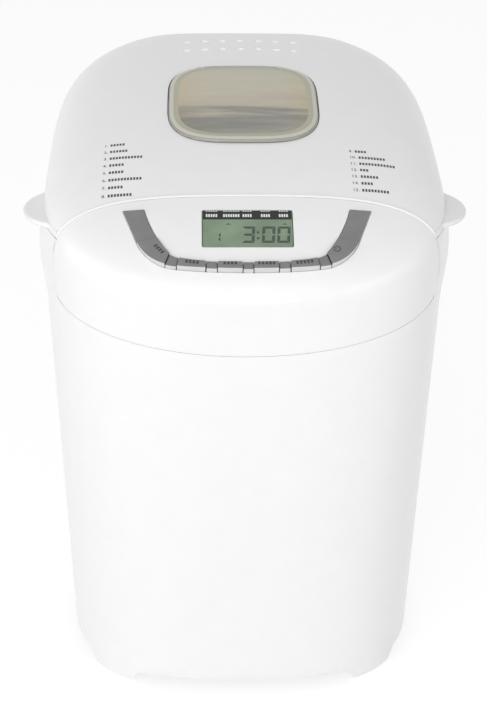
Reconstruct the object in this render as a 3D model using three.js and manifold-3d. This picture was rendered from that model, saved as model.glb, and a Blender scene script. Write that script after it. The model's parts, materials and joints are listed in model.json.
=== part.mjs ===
// Bread machine with a hinged, windowed lid, an oval control panel, a removable pan and a belt drive.
// Millimetres, +Z up, the control panel faces -Y. The origin is on the floor, under the middle of the body.
import * as THREE from 'three';
import { mergeVertices } from 'three/addons/utils/BufferGeometryUtils.js';
import Module from 'manifold-3d';

const manifold = await Module();
manifold.setup();

// ---------------------------------------------------------------- driving dimensions

// Outer body: one smooth form that the housing, deck, control panel and lid are all cut from.
const BODY_WIDTH = 236;          // across the side walls at the rim
const BODY_FRONT = 120.7;        // from the widest line to the front, at the rim
const BODY_REAR = 161.9;         // from the widest line to the back, at the rim
const RIM_HEIGHT = 260.8;        // the straight, drafted sides end here and the dome begins
const DOME_RISE = 74;            // crest of the dome above the rim
const CREST_SETBACK = 13.3;      // from the back wall forward to the crest
const DRAFT = THREE.MathUtils.degToRad(2.58);
const FRONT_DRAFT_SHARE = 0.8;   // draft of the front and back walls, as a share of the side draft
const REAR_DRAFT_SHARE = 0.5;
const FRONT_SQUARENESS = 2.97;   // superellipse powers of the plan, front and rear halves
const REAR_SQUARENESS = 4.4;
const ARCH_SQUARENESS = 4.56;    // and of the dome's cross-section and its centre line
const NOSE_SQUARENESS = 1.75;
const TAIL_SQUARENESS = 2.6;
const WALL = 2.6;                // moulded plastic wall
const GAP = 0.3;                 // clearance between neighbouring pieces

// Lower edge and feet.
const SKIRT_HEIGHT = 8.5;        // the skirt clears the floor by this between the corner feet
const FOOT_LIFT = 1.2;           // the moulded corner feet stop short of the floor
const FOOT_INSET = 37;           // plan length of a corner foot, back from the outline's corner
const CORNER_ROOM_FRONT = 14;     // the plan's rounded corner, seen from the front and from the side
const CORNER_ROOM_SIDE = 8;
const ARCH_LEAN = 5;             // how far the inner end of a foot leans out at the floor
const PAD_RADIUS = 9;
const PAD_HEIGHT = 4;
const PAD_INSET = 50;            // rubber pads, in from the sides of the body
const PAD_FRONT = 46;            // rubber pads, in from the front and the back of the body
const LOUVRE_ROWS = 8;
const LOUVRE_PITCH = 8;
const LOUVRE_HEIGHT = 3;
const LOUVRE_LENGTH = 34;
const LOUVRE_LIFT = 70;
const GLAND_OFFSET = 25;         // cord entry, left of the middle, and its height
const GLAND_HEIGHT = 38;
const GLAND_RADIUS = 8;
const GLAND_WALL = 3;
const GLAND_FLANGE = 2.5;
const GLAND_LENGTH = 14;
const BASE_THICKNESS = 3;
const BASE_LIFT = 9;             // underside of the base plate
const BASE_SLOT_PITCH = 9;
const BASE_SLOT_WIDTH = 4;
const BASE_SLOT_HALF_LENGTH = 22;

// Deck, where the lid closes, and its two lifting ears.
const SEAM_RISE = 23.6;          // top of the deck above the rim
const DECK_THICKNESS = 3.4;
const BEAD = 1.6;                // bright bead between the control panel and the lid
const EAR_LENGTH = 50;
const EAR_REACH = 10.2;          // how far an ear stands out past the widest side
const EAR_SETBACK = 88;          // ear centre, back from the front of the body
const EAR_EDGE = 1;              // rounding of an ear's rim
const EAR_ROOT = 11.8;           // how far an ear's plate runs in past the side wall
const GUSSET_PROUD = 1.9;        // the swelling under each ear stands out by this
const GUSSET_HALF_DEPTH = 8.5;
const GUSSET_HALF_HEIGHT = 25;

// Control panel: an oval prism, tilted up, cut through the front of the dome.
const PANEL_TILT = THREE.MathUtils.degToRad(26);
const PANEL_MARGIN = 8.2;        // from the oval's end to the side of the body
const PANEL_HALF_HEIGHT = 45;
const PANEL_SETBACK = 12.5;      // oval centre, back from the front and up from the rim
const PANEL_RISE_SHARE = 0.181;  // oval centre above the rim, as a share of the dome's rise
const PANEL_UPPER_SQUARENESS = 3.1;
const PANEL_LOWER_SQUARENESS = 2.05;
const DISPLAY_WIDTH = 50;
const DISPLAY_DROP = 10.4;       // the display's upper edge, forward of the oval's top
const DISPLAY_DEPTH = 25;        // and its lower edge, forward of its upper edge
const DISPLAY_SINK = 0.3;
const LENS_THICKNESS = 2.4;
const MODULE_RIM = 3.2;          // display module, past the lens all round
const MODULE_THICKNESS = 6;

// Keys: a horseshoe band round the display.
const BAND_HALF_SPAN = 69.2;     // from the middle to the upper end of the band
const BAND_PROUD = 0.3;
const KEY_GAP = 0.45;
const KEY_TRAVEL = 1;
const KEY_DEPTH = 6;
const KEY_STEM_RADIUS = 1.8;
const CARRIER_DEPTH = 8.2;       // top of the carrier plate below the band's face
const CARRIER_THICKNESS = 1.6;
const CARRIER_FLANGE = 2.5;
const BOARD_DEPTH = 14.6;        // top of the control board below the band's face
const BOARD_THICKNESS = 1.6;
const BOARD_HEIGHT = 50;
const BOARD_RISE = 3;            // the control board runs above the display's upper edge by this
const SWITCH_RADIUS = 3;
const BOARD_INSET = 11.2;        // ends of the control board, in from the ends of the band
const SWITCH_HEIGHT = 1.4;

// Lid.
const LID_WALL = 2.6;
const WINDOW_HALF_WIDTH = 45.5;
const WINDOW_FRONT = 108.5;      // window's front and rear edges, back from the front of the body
const WINDOW_REAR = 206.9;
const WINDOW_CORNER = 25;
const PANE_WALL = 2.4;
const PANE_PROUD = 5.5;
const PANE_FLANGE = 4;
const PANE_FLANGE_THICKNESS = 2;
const PANE_BEVEL = 2.2;          // rounding of the blister's rim
const CUTTER_REACH = 20;
const COLLAR_SPREAD = 9;
const COLLAR_REACH = 60;
const COLLAR_WALL = 1.5;
const INNER_PANE_THICKNESS = 3;
const VENT_COLUMNS = 7;
const VENT_PITCH = 11.4;
const VENT_ROW_SETBACKS = [28.8, 44.6];  // vent rows, in from the back of the body
const VENT_BOW = 0.0028;         // the rows curve forward towards their ends
const VENT_HALF_LENGTH = 2.4;
const VENT_HALF_WIDTH = 1.9;
const GASKET_THICKNESS = 1.2;
const GASKET_WIDTH = 3;
const LID_BASE_THICKNESS = 2.5;
const LINER_SHEET = 1;
const LID_POST_RADIUS = 3;
const LID_POST_FRONT = 14;       // screw posts, back from the oven's front wall and behind its rear wall
const LID_POST_REAR = 8;
const LID_POST_SIDE = 6;
const APRON_WALL = 2;
const LINER_DROP = 15.5;         // roof of the liner's dish, below the window's front edge
const LINER_FLANGE = 8;

// Hinge.
const HINGE_RADIUS = 4.8;        // the lid's rear edge rolls on this radius
const PIN_RADIUS = 2;
const PIN_CLEARANCE = 0.15;
const HINGE_SPREAD = 48;         // from the middle to each hinge
const KNUCKLE_WIDTH = 12;
const LID_KNUCKLE_WIDTH = 8;

// Oven chamber.
const OVEN_SIDE_ROOM = 24;       // from the body's side to the oven's inner wall
const OVEN_HALF_DEPTH = 86;
const OVEN_OFFSET = 25;          // oven centre, behind the middle of the body
const OVEN_CORNER = 20;
const OVEN_FLOOR = 64;
const SHEET = 1;
const OVEN_FLANGE = 8;
const OVEN_HOLE = 15;            // radius of the hole that the drive comes up through
const DECK_OPENING_MARGIN = 1;

// Heater and sensor.
const HEATER_TUBE = 3.3;
const HEATER_STANDOFF = 9;       // from the oven wall to the tube's centre line
const HEATER_HEIGHT = 32;        // above the oven floor
const HEATER_BEND = 24;
const HEATER_TAIL = 11;          // how far the cold ends stand out through the front wall
const HEATER_TAIL_SPREAD = 14;
const HEATER_TAIL_INSET = 42;    // the pair of cold ends, in from the oven's side wall
const HEATER_STEPS = 60;
const CLIP_LENGTH = 8;
const CLIP_WALL = 2;
const BUSH_WALL = 3;             // ceramic bush round each cold end
const BUSH_LENGTH = 7;
const SENSOR_RADIUS = 3;
const SENSOR_HEIGHT = 86;        // above the oven floor
const SENSOR_INSIDE = 9;         // probe length inside the oven and behind its wall
const SENSOR_OUTSIDE = 14;
const SENSOR_COLLAR = 3;         // the collar's width and length

// Bread pan.
const PAN_ROOM = 19;             // from the oven's inner walls to the pan's mouth
const PAN_TAPER = 11;            // half-width lost from top to bottom
const PAN_HEIGHT = 157;
const PAN_LIFT = 16;             // underside of the pan above the oven floor
const PAN_WALL = 1.6;
const PAN_RIM = 3;
const PAN_CORNER = 26;
const SKIRT_RADIUS = 37;         // ring under the pan that drops into the seat
const LUG_REACH = 3;
const LUG_ANGLE = THREE.MathUtils.degToRad(12);
const LUG_COUNT = 4;
const SEAT_WALL = 4;
const SEAT_HEIGHT = 13;
const SEAT_FLANGE = 12;          // width and thickness of the seat's foot
const SEAT_FLANGE_THICKNESS = 2;
const LUG_HEIGHT = 4;
const BAIL_RADIUS = 1.8;
const BAIL_REACH = 62;
const BAIL_CORNER = 18;
const BAIL_DROP = 9;             // bail pivot below the pan's rim
const BAIL_LUG_RADIUS = 5.5;
const BAIL_LUG_PROUD = 3;
const PAN_BOSS_HEIGHT = 12;
const SKIRT_WALL = 2;
const PAN_RIM_THICKNESS = 2;

// Kneading drive.
const SHAFT_RADIUS = 4;
const RUNNING_CLEARANCE = 0.15;
const BUSH_RADIUS = 7;
const PADDLE_REACH = 45;
const PADDLE_HEIGHT = 24;
const BLADE_ROOT = 15;           // blade thickness at the hub
const BLADE_TIP = 3;             // and at the tip
const BLADE_SLOPE = THREE.MathUtils.degToRad(17);
const BLADE_SWEEP = 7;           // the tip trails the hub's middle by this
const HUB_RADIUS = 10;
const HUB_HEIGHT = 20;
const HUB_CAP = 3;
const DOG_INNER = 8;
const DOG_OUTER = 17;
const DOG_HEIGHT = 6.5;
const DOG_DISC = 3;
const DOG_ANGLE = THREE.MathUtils.degToRad(36);
const BELT_PITCH = 8;
const WHEEL_TEETH = 36;
const PINION_TEETH = 9;
const BELT_WIDTH = 10;
const BELT_PITCH_DEPTH = 0.6;    // belt's inner face inside its pitch line
const BELT_BACK = 1.2;           // belt's back outside its pitch line
const TOOTH_HEIGHT = 1.8;
const TOOTH_HALF_WIDTH = 2;      // at the root of a belt tooth
const WHEEL_WEB = 4;             // the wheel's faces are dished by this
const WHEEL_RIM = 7;
const WHEEL_HUB = 13;
const WHEEL_SPOKES = 5;
const PULLEY_LIFT = 14;          // underside of the pulleys above the base plate
const FLANGE_THICKNESS = 1.2;
const CHASSIS_THICKNESS = 2;
const CHASSIS_LIFT = 38;         // underside of the chassis plate above the base plate
const CHASSIS_INSET = 34;        // chassis edge, in from the oven's side wall
const CHASSIS_LEG = 4;           // radius of the legs and posts
const LEG_INSET = 6;             // legs and posts, in from the plate's edge
const POST_INSET = 12;
const TURNDOWN = 6;
const CHASSIS_CORNER = 10;
const CHASSIS_MARGIN = 1.4;
const LIGHTENING_HOLE = 12;
const BEARING_FLANGE = 24;
const BEARING_WALL = 5;
const MOTOR_RADIUS = 28;
const MOTOR_SETBACK = 40;        // motor axis, back from the front of the body, or a little more
const MOTOR_STACK = 36;
const MOTOR_CAP = 11;
const CAP_WALL = 2.4;
const CAP_BEVEL = 3;
const CAP_SLOTS = 6;
const CAP_SLOT = 8;
const WINDING_OUTER = 22;
const WINDING_INNER = 9.5;
const WINDING_BULGE = 1;
const FAN_RADIUS = 24;
const FAN_BLADES = 7;
const FAN_HEIGHT = 9;
const FAN_HUB = 8;
const FAN_SHEET = 1.2;
const FAN_RAKE = THREE.MathUtils.degToRad(20);

// Electrics.
const CAPACITOR_RADIUS = 14;
const CAPACITOR_HEIGHT = 48;
const CAPACITOR_NECK = 6;
const POWER_WIDTH = 104;
const POWER_HEIGHT = 74;
const POWER_LIFT = 12;           // underside of the power board above the sensor
const POWER_STANDOFF = 12;       // from the oven's wall to the board's back
const PILLAR_RADIUS = 2.5;
const PILLAR_INSET = 6;
const TRANSFORMER = { x: -23, z: 38, width: 30, height: 28, depth: 22 };
const RELAY = { x: 17, z: 50, width: 18, height: 24, depth: 14 };
const TERMINALS = { x: 10, z: 10.5, width: 48, height: 11, depth: 9 };
const CAN_RADIUS = 3.5;
const CAN_LENGTH = 12;
const CAN_PLACES = [36, 44];
const CAN_LIFT = 30;

// Facets.
const PLAN_STEPS = 36;
const DOME_STEPS = 5;
const OVAL_STEPS = 32;
const ROUND = 14;                // sides of a small cylinder
const LARGE_ROUND = 24;          // and of a large one
const ARC_STEPS = 2;             // curve segments, two of which make one facet pair of a rounded corner
const WIRE_SIDES = 3;

// ---------------------------------------------------------------- derived places

const frontY = -(BODY_FRONT + BODY_REAR) / 2;
const backY = -frontY;
const widestY = frontY + BODY_FRONT;
const crestY = backY - CREST_SETBACK;
const topHeight = RIM_HEIGHT + DOME_RISE;
const seamHeight = RIM_HEIGHT + SEAM_RISE;
const deckBottom = seamHeight - DECK_THICKNESS;
const baseTop = BASE_LIFT + BASE_THICKNESS;
const ovenY = OVEN_OFFSET;
const ovenHalfWidth = BODY_WIDTH / 2 - OVEN_SIDE_ROOM;
const panHalfWidth = ovenHalfWidth - PAN_ROOM;
const panHalfDepth = OVEN_HALF_DEPTH - PAN_ROOM;
const chassisHalfWidth = ovenHalfWidth - CHASSIS_INSET;
const padSpread = BODY_WIDTH / 2 - PAD_INSET;
const ovenTop = deckBottom - GAP;
const ovenFrontY = ovenY - OVEN_HALF_DEPTH;
const wallRearY = ovenFrontY - DECK_OPENING_MARGIN - 4;   // wall between the oven and the controls
const wallFrontY = wallRearY - 2;
const panBottom = OVEN_FLOOR + SHEET + PAN_LIFT;
const panTop = panBottom + PAN_HEIGHT;
const gasketBottom = seamHeight + GAP;
const linerFlangeBottom = gasketBottom + GASKET_THICKNESS + GAP;
const lidBaseBottom = linerFlangeBottom + LINER_SHEET + GAP;
const hingeZ = gasketBottom + HINGE_RADIUS;
const panelRise = DOME_RISE * PANEL_RISE_SHARE;
const wheelRadius = WHEEL_TEETH * BELT_PITCH / (2 * Math.PI);
const pinionRadius = PINION_TEETH * BELT_PITCH / (2 * Math.PI);
const beltTeeth = Math.floor(beltLength(ovenY - frontY - MOTOR_SETBACK) / BELT_PITCH);
const shaftSpacing = beltSpacing();
const motorY = ovenY - shaftSpacing;
const pulleyBottom = baseTop + PULLEY_LIFT;
const pulleyTop = pulleyBottom + BELT_WIDTH + 2 * FLANGE_THICKNESS;
const chassisBottom = baseTop + CHASSIS_LIFT;
const chassisTop = chassisBottom + CHASSIS_THICKNESS;

// Length of a belt round the two pulleys at a spacing.
function beltLength(spacing) {
  const lean = Math.asin((wheelRadius - pinionRadius) / spacing);
  const [sum, difference] = [wheelRadius + pinionRadius, wheelRadius - pinionRadius];
  return 2 * spacing * Math.cos(lean) + Math.PI * sum + 2 * lean * difference;
}

// The spacing that a belt with a whole number of teeth wraps exactly.
function beltSpacing() {
  let spacing = ovenY - frontY;
  for (let round = 0; round < 40; round += 1) spacing += (beltTeeth * BELT_PITCH - beltLength(spacing)) / 2;
  return spacing;
}

// ---------------------------------------------------------------- solids

// A closed geometry as a manifold solid, with welded corners and its faces pointing out.
function toSolid(geometry) {
  const bare = geometry.clone();
  for (const name of Object.keys(bare.attributes)) {
    if (name !== 'position') bare.deleteAttribute(name);
  }
  const welded = mergeVertices(bare);
  const corners = welded.attributes.position.array;
  const triangles = [];
  for (let at = 0; at < welded.index.count; at += 3) {
    const [a, b, c] = welded.index.array.slice(at, at + 3);
    if (a !== b && b !== c && c !== a) triangles.push(a, b, c);
  }
  if (signedVolume(corners, triangles) < 0) triangles.reverse();
  const mesh = new manifold.Mesh({
    numProp: 3,
    vertProperties: new Float32Array(corners),
    triVerts: new Uint32Array(triangles),
  });
  return new manifold.Manifold(mesh);
}

function signedVolume(corners, triangles) {
  const [a, b, c] = [new THREE.Vector3(), new THREE.Vector3(), new THREE.Vector3()];
  let volume = 0;
  for (let at = 0; at < triangles.length; at += 3) {
    a.fromArray(corners, triangles[at] * 3);
    b.fromArray(corners, triangles[at + 1] * 3);
    c.fromArray(corners, triangles[at + 2] * 3);
    volume += a.dot(b.cross(c)) / 6;
  }
  return volume;
}

function toGeometry(solid) {
  const mesh = solid.getMesh();
  const geometry = new THREE.BufferGeometry();
  geometry.setAttribute('position', new THREE.BufferAttribute(new Float32Array(mesh.vertProperties), 3));
  geometry.setIndex(new THREE.BufferAttribute(new Uint32Array(mesh.triVerts), 1));
  geometry.computeVertexNormals();
  return geometry;
}

const joined = (...solids) => solids.reduce((sum, solid) => sum.add(solid));
const cut = (solid, ...tools) => tools.reduce((rest, tool) => rest.subtract(tool), solid);

function box(x0, x1, y0, y1, z0, z1) {
  const geometry = new THREE.BoxGeometry(x1 - x0, y1 - y0, z1 - z0);
  return toSolid(geometry.translate((x0 + x1) / 2, (y0 + y1) / 2, (z0 + z1) / 2));
}

// A box on both sides of the middle plane, and a slab wider than the whole body.
const middleBox = (half, y0, y1, z0, z1) => box(-half, half, y0, y1, z0, z1);
const slab = (z0, z1) => middleBox(BODY_WIDTH, -2 * BODY_REAR, 2 * BODY_REAR, z0, z1);

// A round rod standing on Z, and the same turned to lie along X or Y.
function rodGeometry(radius, from, to, sides = ROUND) {
  const geometry = new THREE.CylinderGeometry(radius, radius, to - from, sides);
  return geometry.rotateX(Math.PI / 2).translate(0, 0, (from + to) / 2);
}
const rod = (radius, z0, z1, x, y, sides) => toSolid(rodGeometry(radius, z0, z1, sides).translate(x, y, 0));
const rodAlongX = (radius, x0, x1, y, z, sides) =>
  toSolid(rodGeometry(radius, x0, x1, sides).rotateY(Math.PI / 2).translate(0, y, z));
const rodAlongY = (radius, y0, y1, x, z, sides) =>
  toSolid(rodGeometry(radius, -y1, -y0, sides).rotateX(Math.PI / 2).translate(x, 0, z));

// A turned piece: its half-section, as pairs of radius and height, spun round Z.
function turned(section, x, y, sides = ROUND) {
  const points = [...section, section[0]].map(([radius, height]) => new THREE.Vector2(radius, height));
  return toSolid(new THREE.LatheGeometry(points, sides).rotateX(Math.PI / 2).translate(x, y, 0));
}
const sleeve = (inner, outer, z0, z1, x, y, sides) =>
  turned([[inner, z0], [outer, z0], [outer, z1], [inner, z1]], x, y, sides);

function prism(shape, z0, z1, curveSegments = ARC_STEPS) {
  const geometry = new THREE.ExtrudeGeometry(shape, { depth: z1 - z0, bevelEnabled: false, curveSegments });
  return geometry.translate(0, 0, z0);
}

// A solid skinned over rings with equally many points each, and closed across the first and last.
function loft(rings) {
  const count = rings[0].length;
  const index = [];
  for (let ring = 0; ring + 1 < rings.length; ring += 1) {
    for (let step = 0; step < count; step += 1) {
      const [here, next] = [ring * count + step, ring * count + (step + 1) % count];
      index.push(here, next, next + count, here, next + count, here + count);
    }
  }
  const last = (rings.length - 1) * count;
  for (let step = 1; step + 1 < count; step += 1) {
    index.push(0, step + 1, step, last, last + step, last + step + 1);
  }
  const geometry = new THREE.BufferGeometry();
  geometry.setAttribute('position', new THREE.Float32BufferAttribute(rings.flat(2), 3));
  geometry.setIndex(index);
  return toSolid(geometry);
}

// A rounded rectangle as one ring of a loft, centred on the oven.
function roundedRing(halfWidth, halfDepth, corner, z, steps = 4) {
  const ring = [];
  for (let quarter = 0; quarter < 4; quarter += 1) {
    const [signX, signY] = [[1, 1], [-1, 1], [-1, -1], [1, -1]][quarter];
    for (let step = 0; step <= steps; step += 1) {
      const angle = (quarter + step / steps) * Math.PI / 2;
      ring.push([
        signX * (halfWidth - corner) + corner * Math.cos(angle),
        ovenY + signY * (halfDepth - corner) + corner * Math.sin(angle),
        z,
      ]);
    }
  }
  return ring;
}

function roundedShape(halfWidth, halfDepth, corner) {
  const shape = new THREE.Shape();
  const [x, y] = [halfWidth - corner, halfDepth - corner];
  shape.absarc(x, y, corner, 0, Math.PI / 2, false);
  shape.absarc(-x, y, corner, Math.PI / 2, Math.PI, false);
  shape.absarc(-x, -y, corner, Math.PI, 1.5 * Math.PI, false);
  shape.absarc(x, -y, corner, 1.5 * Math.PI, 2 * Math.PI, false);
  return shape;
}

const roundedPrism = (halfWidth, halfDepth, corner, z0, z1, y = ovenY) =>
  toSolid(prism(roundedShape(halfWidth, halfDepth, corner), z0, z1).translate(0, y, 0));

// A prism that follows the oven's inner walls, grown by a margin.
const ovenPrism = (margin, z0, z1) =>
  roundedPrism(ovenHalfWidth + margin, OVEN_HALF_DEPTH + margin, OVEN_CORNER + margin, z0, z1);

// A round bar bent along a path.
function bent(path, radius, steps) {
  const section = new THREE.Shape();
  section.absarc(0, 0, radius, 0, 2 * Math.PI, false);
  return toSolid(new THREE.ExtrudeGeometry(section, { steps, curveSegments: WIRE_SIDES, extrudePath: path }));
}

// A path through corner points, each corner rounded to the given radius.
function roundedPath(corners, radius) {
  const path = new THREE.CurvePath();
  const points = corners.map((corner) => new THREE.Vector3(...corner));
  let start = points[0];
  for (let at = 1; at + 1 < points.length; at += 1) {
    const [before, corner, after] = points.slice(at - 1, at + 2);
    const reach = Math.min(radius, corner.distanceTo(before) * 0.4, corner.distanceTo(after) * 0.4);
    const enter = corner.clone().lerp(before, reach / corner.distanceTo(before));
    const leave = corner.clone().lerp(after, reach / corner.distanceTo(after));
    if (start.distanceTo(enter) > GAP) path.add(new THREE.LineCurve3(start, enter));
    path.add(new THREE.QuadraticBezierCurve3(enter, corner, leave));
    start = leave;
  }
  path.add(new THREE.LineCurve3(start, points.at(-1)));
  return path;
}

// ---------------------------------------------------------------- the body's outer form

const signedPower = (value, power) => Math.sign(value) * Math.abs(value) ** power;
const superDrop = (share, power) => Math.max(0, 1 - Math.min(1, share) ** power) ** (1 / power);

// Half-width and the reach to front and rear of the plan at a height, drawn in by an inset.
function planReach(z, inset) {
  const fall = Math.max(0, RIM_HEIGHT - z) * Math.tan(DRAFT);
  return {
    half: BODY_WIDTH / 2 - fall - inset,
    front: BODY_FRONT - FRONT_DRAFT_SHARE * fall - inset,
    rear: BODY_REAR - REAR_DRAFT_SHARE * fall - inset,
  };
}

function planRing(z, inset) {
  const { half, front, rear } = planReach(z, inset);
  return Array.from({ length: PLAN_STEPS }, (_, step) => {
    const angle = step / PLAN_STEPS * 2 * Math.PI;
    const [cos, sin] = [Math.cos(angle), Math.sin(angle)];
    const [reach, power] = sin < 0 ? [front, FRONT_SQUARENESS] : [rear, REAR_SQUARENESS];
    return [half * signedPower(cos, 2 / power), widestY + reach * signedPower(sin, 2 / power), z];
  });
}

// Height of the dome on its centre line, and anywhere under it.
function crestHeight(y, inset) {
  const [from, power] = y < crestY ? [frontY + inset, NOSE_SQUARENESS] : [backY - inset, TAIL_SQUARENESS];
  const share = Math.abs((y - crestY) / (from - crestY));
  return RIM_HEIGHT + (topHeight - inset - RIM_HEIGHT) * superDrop(share, power);
}

function domeHeight(x, y, inset) {
  const { half, front, rear } = planReach(RIM_HEIGHT, inset);
  const [reach, power] = y < widestY ? [front, FRONT_SQUARENESS] : [rear, REAR_SQUARENESS];
  const width = half * superDrop(Math.abs(y - widestY) / reach, power);
  if (width <= 0) return RIM_HEIGHT;
  return RIM_HEIGHT + (crestHeight(y, inset) - RIM_HEIGHT) * superDrop(Math.abs(x) / width, ARCH_SQUARENESS);
}

// The whole body as one solid, drawn in by an inset and standing on the given bottom.
function bodySolid(inset, bottom = 0) {
  const rim = planRing(RIM_HEIGHT, inset);
  const shares = Array.from({ length: DOME_STEPS - 1 }, (_, step) =>
    Math.cos((step + 1) / DOME_STEPS * Math.PI / 2) ** (2 / ARCH_SQUARENESS));
  const last = shares.at(-1);
  const rings = [...shares, last / 2, 0].map((share) => rim.map(([x, y]) => {
    const [inX, inY] = [x * share, widestY + (y - widestY) * share];
    return [inX, inY, domeHeight(inX, inY, inset)];
  }));
  return loft([planRing(bottom, inset), rim, ...rings]);
}

const body = bodySolid(0);
const hollow = bodySolid(WALL, -BODY_REAR);
const lidHollow = bodySolid(LID_WALL, -BODY_REAR);
const shell = body.subtract(hollow);

// The control panel's oval, grown by a margin, as a prism that runs in and down from the front.
function panelPrism(margin) {
  const half = BODY_WIDTH / 2 - PANEL_MARGIN + margin;
  const height = PANEL_HALF_HEIGHT + margin;
  const outline = Array.from({ length: OVAL_STEPS }, (_, step) => {
    const angle = step / OVAL_STEPS * 2 * Math.PI;
    const power = 2 / (Math.sin(angle) > 0 ? PANEL_UPPER_SQUARENESS : PANEL_LOWER_SQUARENESS);
    return new THREE.Vector2(
      half * signedPower(Math.cos(angle), power),
      height * signedPower(Math.sin(angle), power),
    );
  });
  const solid = prism(new THREE.Shape(outline), -BODY_FRONT * 0.7, PANEL_HALF_HEIGHT);
  solid.rotateX(Math.PI / 2 - PANEL_TILT);
  return toSolid(solid.translate(0, frontY + PANEL_SETBACK, RIM_HEIGHT + panelRise));
}

// A frame lying on the dome's centre line between two places, with X across, Y up the slope and
// Z out of the surface. Its origin is at the upper place.
function slopeFrame(lowerY, upperY) {
  const [low, high] = [crestHeight(lowerY, 0), crestHeight(upperY, 0)];
  const tilt = Math.atan2(high - low, upperY - lowerY);
  return new THREE.Matrix4().makeRotationX(tilt).setPosition(0, upperY, high);
}

const onFrame = (geometry, frame) => toSolid(geometry.applyMatrix4(frame));

// Where the oval's highest line meets the dome, which is the middle of the seam above the display.
function ovalTopY() {
  const [cos, sin] = [Math.cos(PANEL_TILT), Math.sin(PANEL_TILT)];
  const y = frontY + PANEL_SETBACK + PANEL_HALF_HEIGHT * sin;
  const z = RIM_HEIGHT + panelRise + PANEL_HALF_HEIGHT * cos;
  let [outside, inside] = [-BODY_FRONT, BODY_FRONT];
  for (let round = 0; round < 40; round += 1) {
    const middle = (outside + inside) / 2;
    if (z - middle * sin > crestHeight(y + middle * cos, 0)) outside = middle;
    else inside = middle;
  }
  return y + inside * cos;
}
const displayTopY = ovalTopY() - DISPLAY_DROP;
const displayBottomY = displayTopY - DISPLAY_DEPTH;
const displayFrame = slopeFrame(displayBottomY, displayTopY);
const windowFrame = slopeFrame(frontY + WINDOW_FRONT, frontY + WINDOW_REAR);
const linerTop = crestHeight(frontY + WINDOW_FRONT, 0) - LINER_DROP;
const innerPaneBottom = linerTop + GAP;
const windowMiddle = -Math.hypot(WINDOW_REAR - WINDOW_FRONT,
  crestHeight(frontY + WINDOW_REAR, 0) - crestHeight(frontY + WINDOW_FRONT, 0)) / 2;
const displayHeight = Math.hypot(DISPLAY_DEPTH, crestHeight(displayTopY, 0) - crestHeight(displayBottomY, 0));

// ---------------------------------------------------------------- finishes

const finish = (color, roughness, metalness) =>
  new THREE.MeshStandardMaterial({ color, roughness, metalness, flatShading: true });
const whitePlastic = finish(0xf1f1f1, 0.35, 0);
const greyPlastic = finish(0x868686, 0.5, 0);
const darkPlastic = finish(0x3a3b3d, 0.6, 0);
const clearGlass = finish(0xb9b7a4, 0.1, 0);
const displayGlass = finish(0x9aab96, 0.3, 0);
const rubber = finish(0x55565a, 0.9, 0);
const steelSheet = finish(0xb9bcbe, 0.4, 0.9);
const brightSteel = finish(0xc9cccf, 0.25, 1);
const castAluminium = finish(0xa9abad, 0.45, 0.9);
const coating = finish(0x4a4a4c, 0.5, 0.3);
const circuitBoard = finish(0x2f6b3d, 0.6, 0);
const bronze = finish(0xa98145, 0.4, 0.9);
const heaterSteel = finish(0x5b554e, 0.45, 0.9);

const model = new THREE.Group();
function part(name, solid, material) {
  const mesh = new THREE.Mesh(toGeometry(solid), material);
  mesh.name = name;
  model.add(mesh);
}

// ---------------------------------------------------------------- housing, base and feet

// Between the corner feet the skirt is cut away in arches whose ends lean outward.
function skirtArch(halfLength, halfDepth) {
  const right = [[halfLength + ARCH_LEAN, -1], [halfLength + ARCH_LEAN * 0.4, SKIRT_HEIGHT * 0.6],
    [halfLength, SKIRT_HEIGHT]];
  const left = right.map(([x, y]) => [-x, y]).reverse();
  const shape = new THREE.Shape([...right, ...left].map(([x, y]) => new THREE.Vector2(x, y)));
  return prism(shape, -halfDepth, halfDepth).rotateX(Math.PI / 2);
}

// Two columns of cooling slots through the back wall.
function louvres() {
  const slots = [];
  for (let row = 0; row < LOUVRE_ROWS; row += 1) {
    const z = LOUVRE_LIFT + row * LOUVRE_PITCH;
    for (const side of [-1, 1]) {
      const [near, far] = [side * LOUVRE_PITCH, side * (LOUVRE_PITCH + LOUVRE_LENGTH)];
      const y0 = ovenY + OVEN_HALF_DEPTH;
      slots.push(box(Math.min(near, far), Math.max(near, far), y0, backY + 1, z, z + LOUVRE_HEIGHT));
    }
  }
  return slots;
}

function gusset(side) {
  const bulge = new THREE.SphereGeometry(1, 10, 8);
  bulge.scale(GUSSET_HALF_DEPTH, EAR_LENGTH * 0.54, GUSSET_HALF_HEIGHT);
  const reach = BODY_WIDTH / 2 + GUSSET_PROUD - GUSSET_HALF_DEPTH;
  return toSolid(bulge.translate(side * reach, frontY + EAR_SETBACK, deckBottom - GUSSET_HALF_HEIGHT + 1));
}

function outerHousing() {
  const bulges = joined(gusset(-1), gusset(1)).subtract(hollow);
  const arches = [
    toSolid(skirtArch(BODY_WIDTH / 2 - FOOT_INSET - CORNER_ROOM_FRONT, 2 * backY)),
    toSolid(skirtArch(backY - FOOT_INSET - CORNER_ROOM_SIDE, BODY_WIDTH).rotateZ(Math.PI / 2)),
  ];
  const top = deckBottom - GAP;
  const wall = joined(shell, bulges).intersect(slab(FOOT_LIFT, top)).subtract(panelPrism(0));
  const glandHole = rodAlongY(GLAND_RADIUS, ovenY + OVEN_HALF_DEPTH, backY + WALL, -GLAND_OFFSET,
    GLAND_HEIGHT);
  return cut(wall, ...arches, ...louvres(), glandHole);
}
part('outer_housing', outerHousing(), whitePlastic);

const padPlaces = [];
for (const [row, y] of [['front', frontY + PAD_FRONT], ['rear', backY - PAD_FRONT]]) {
  for (const [side, x] of [['left', -padSpread], ['right', padSpread]]) padPlaces.push({ row, side, x, y });
}

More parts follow.
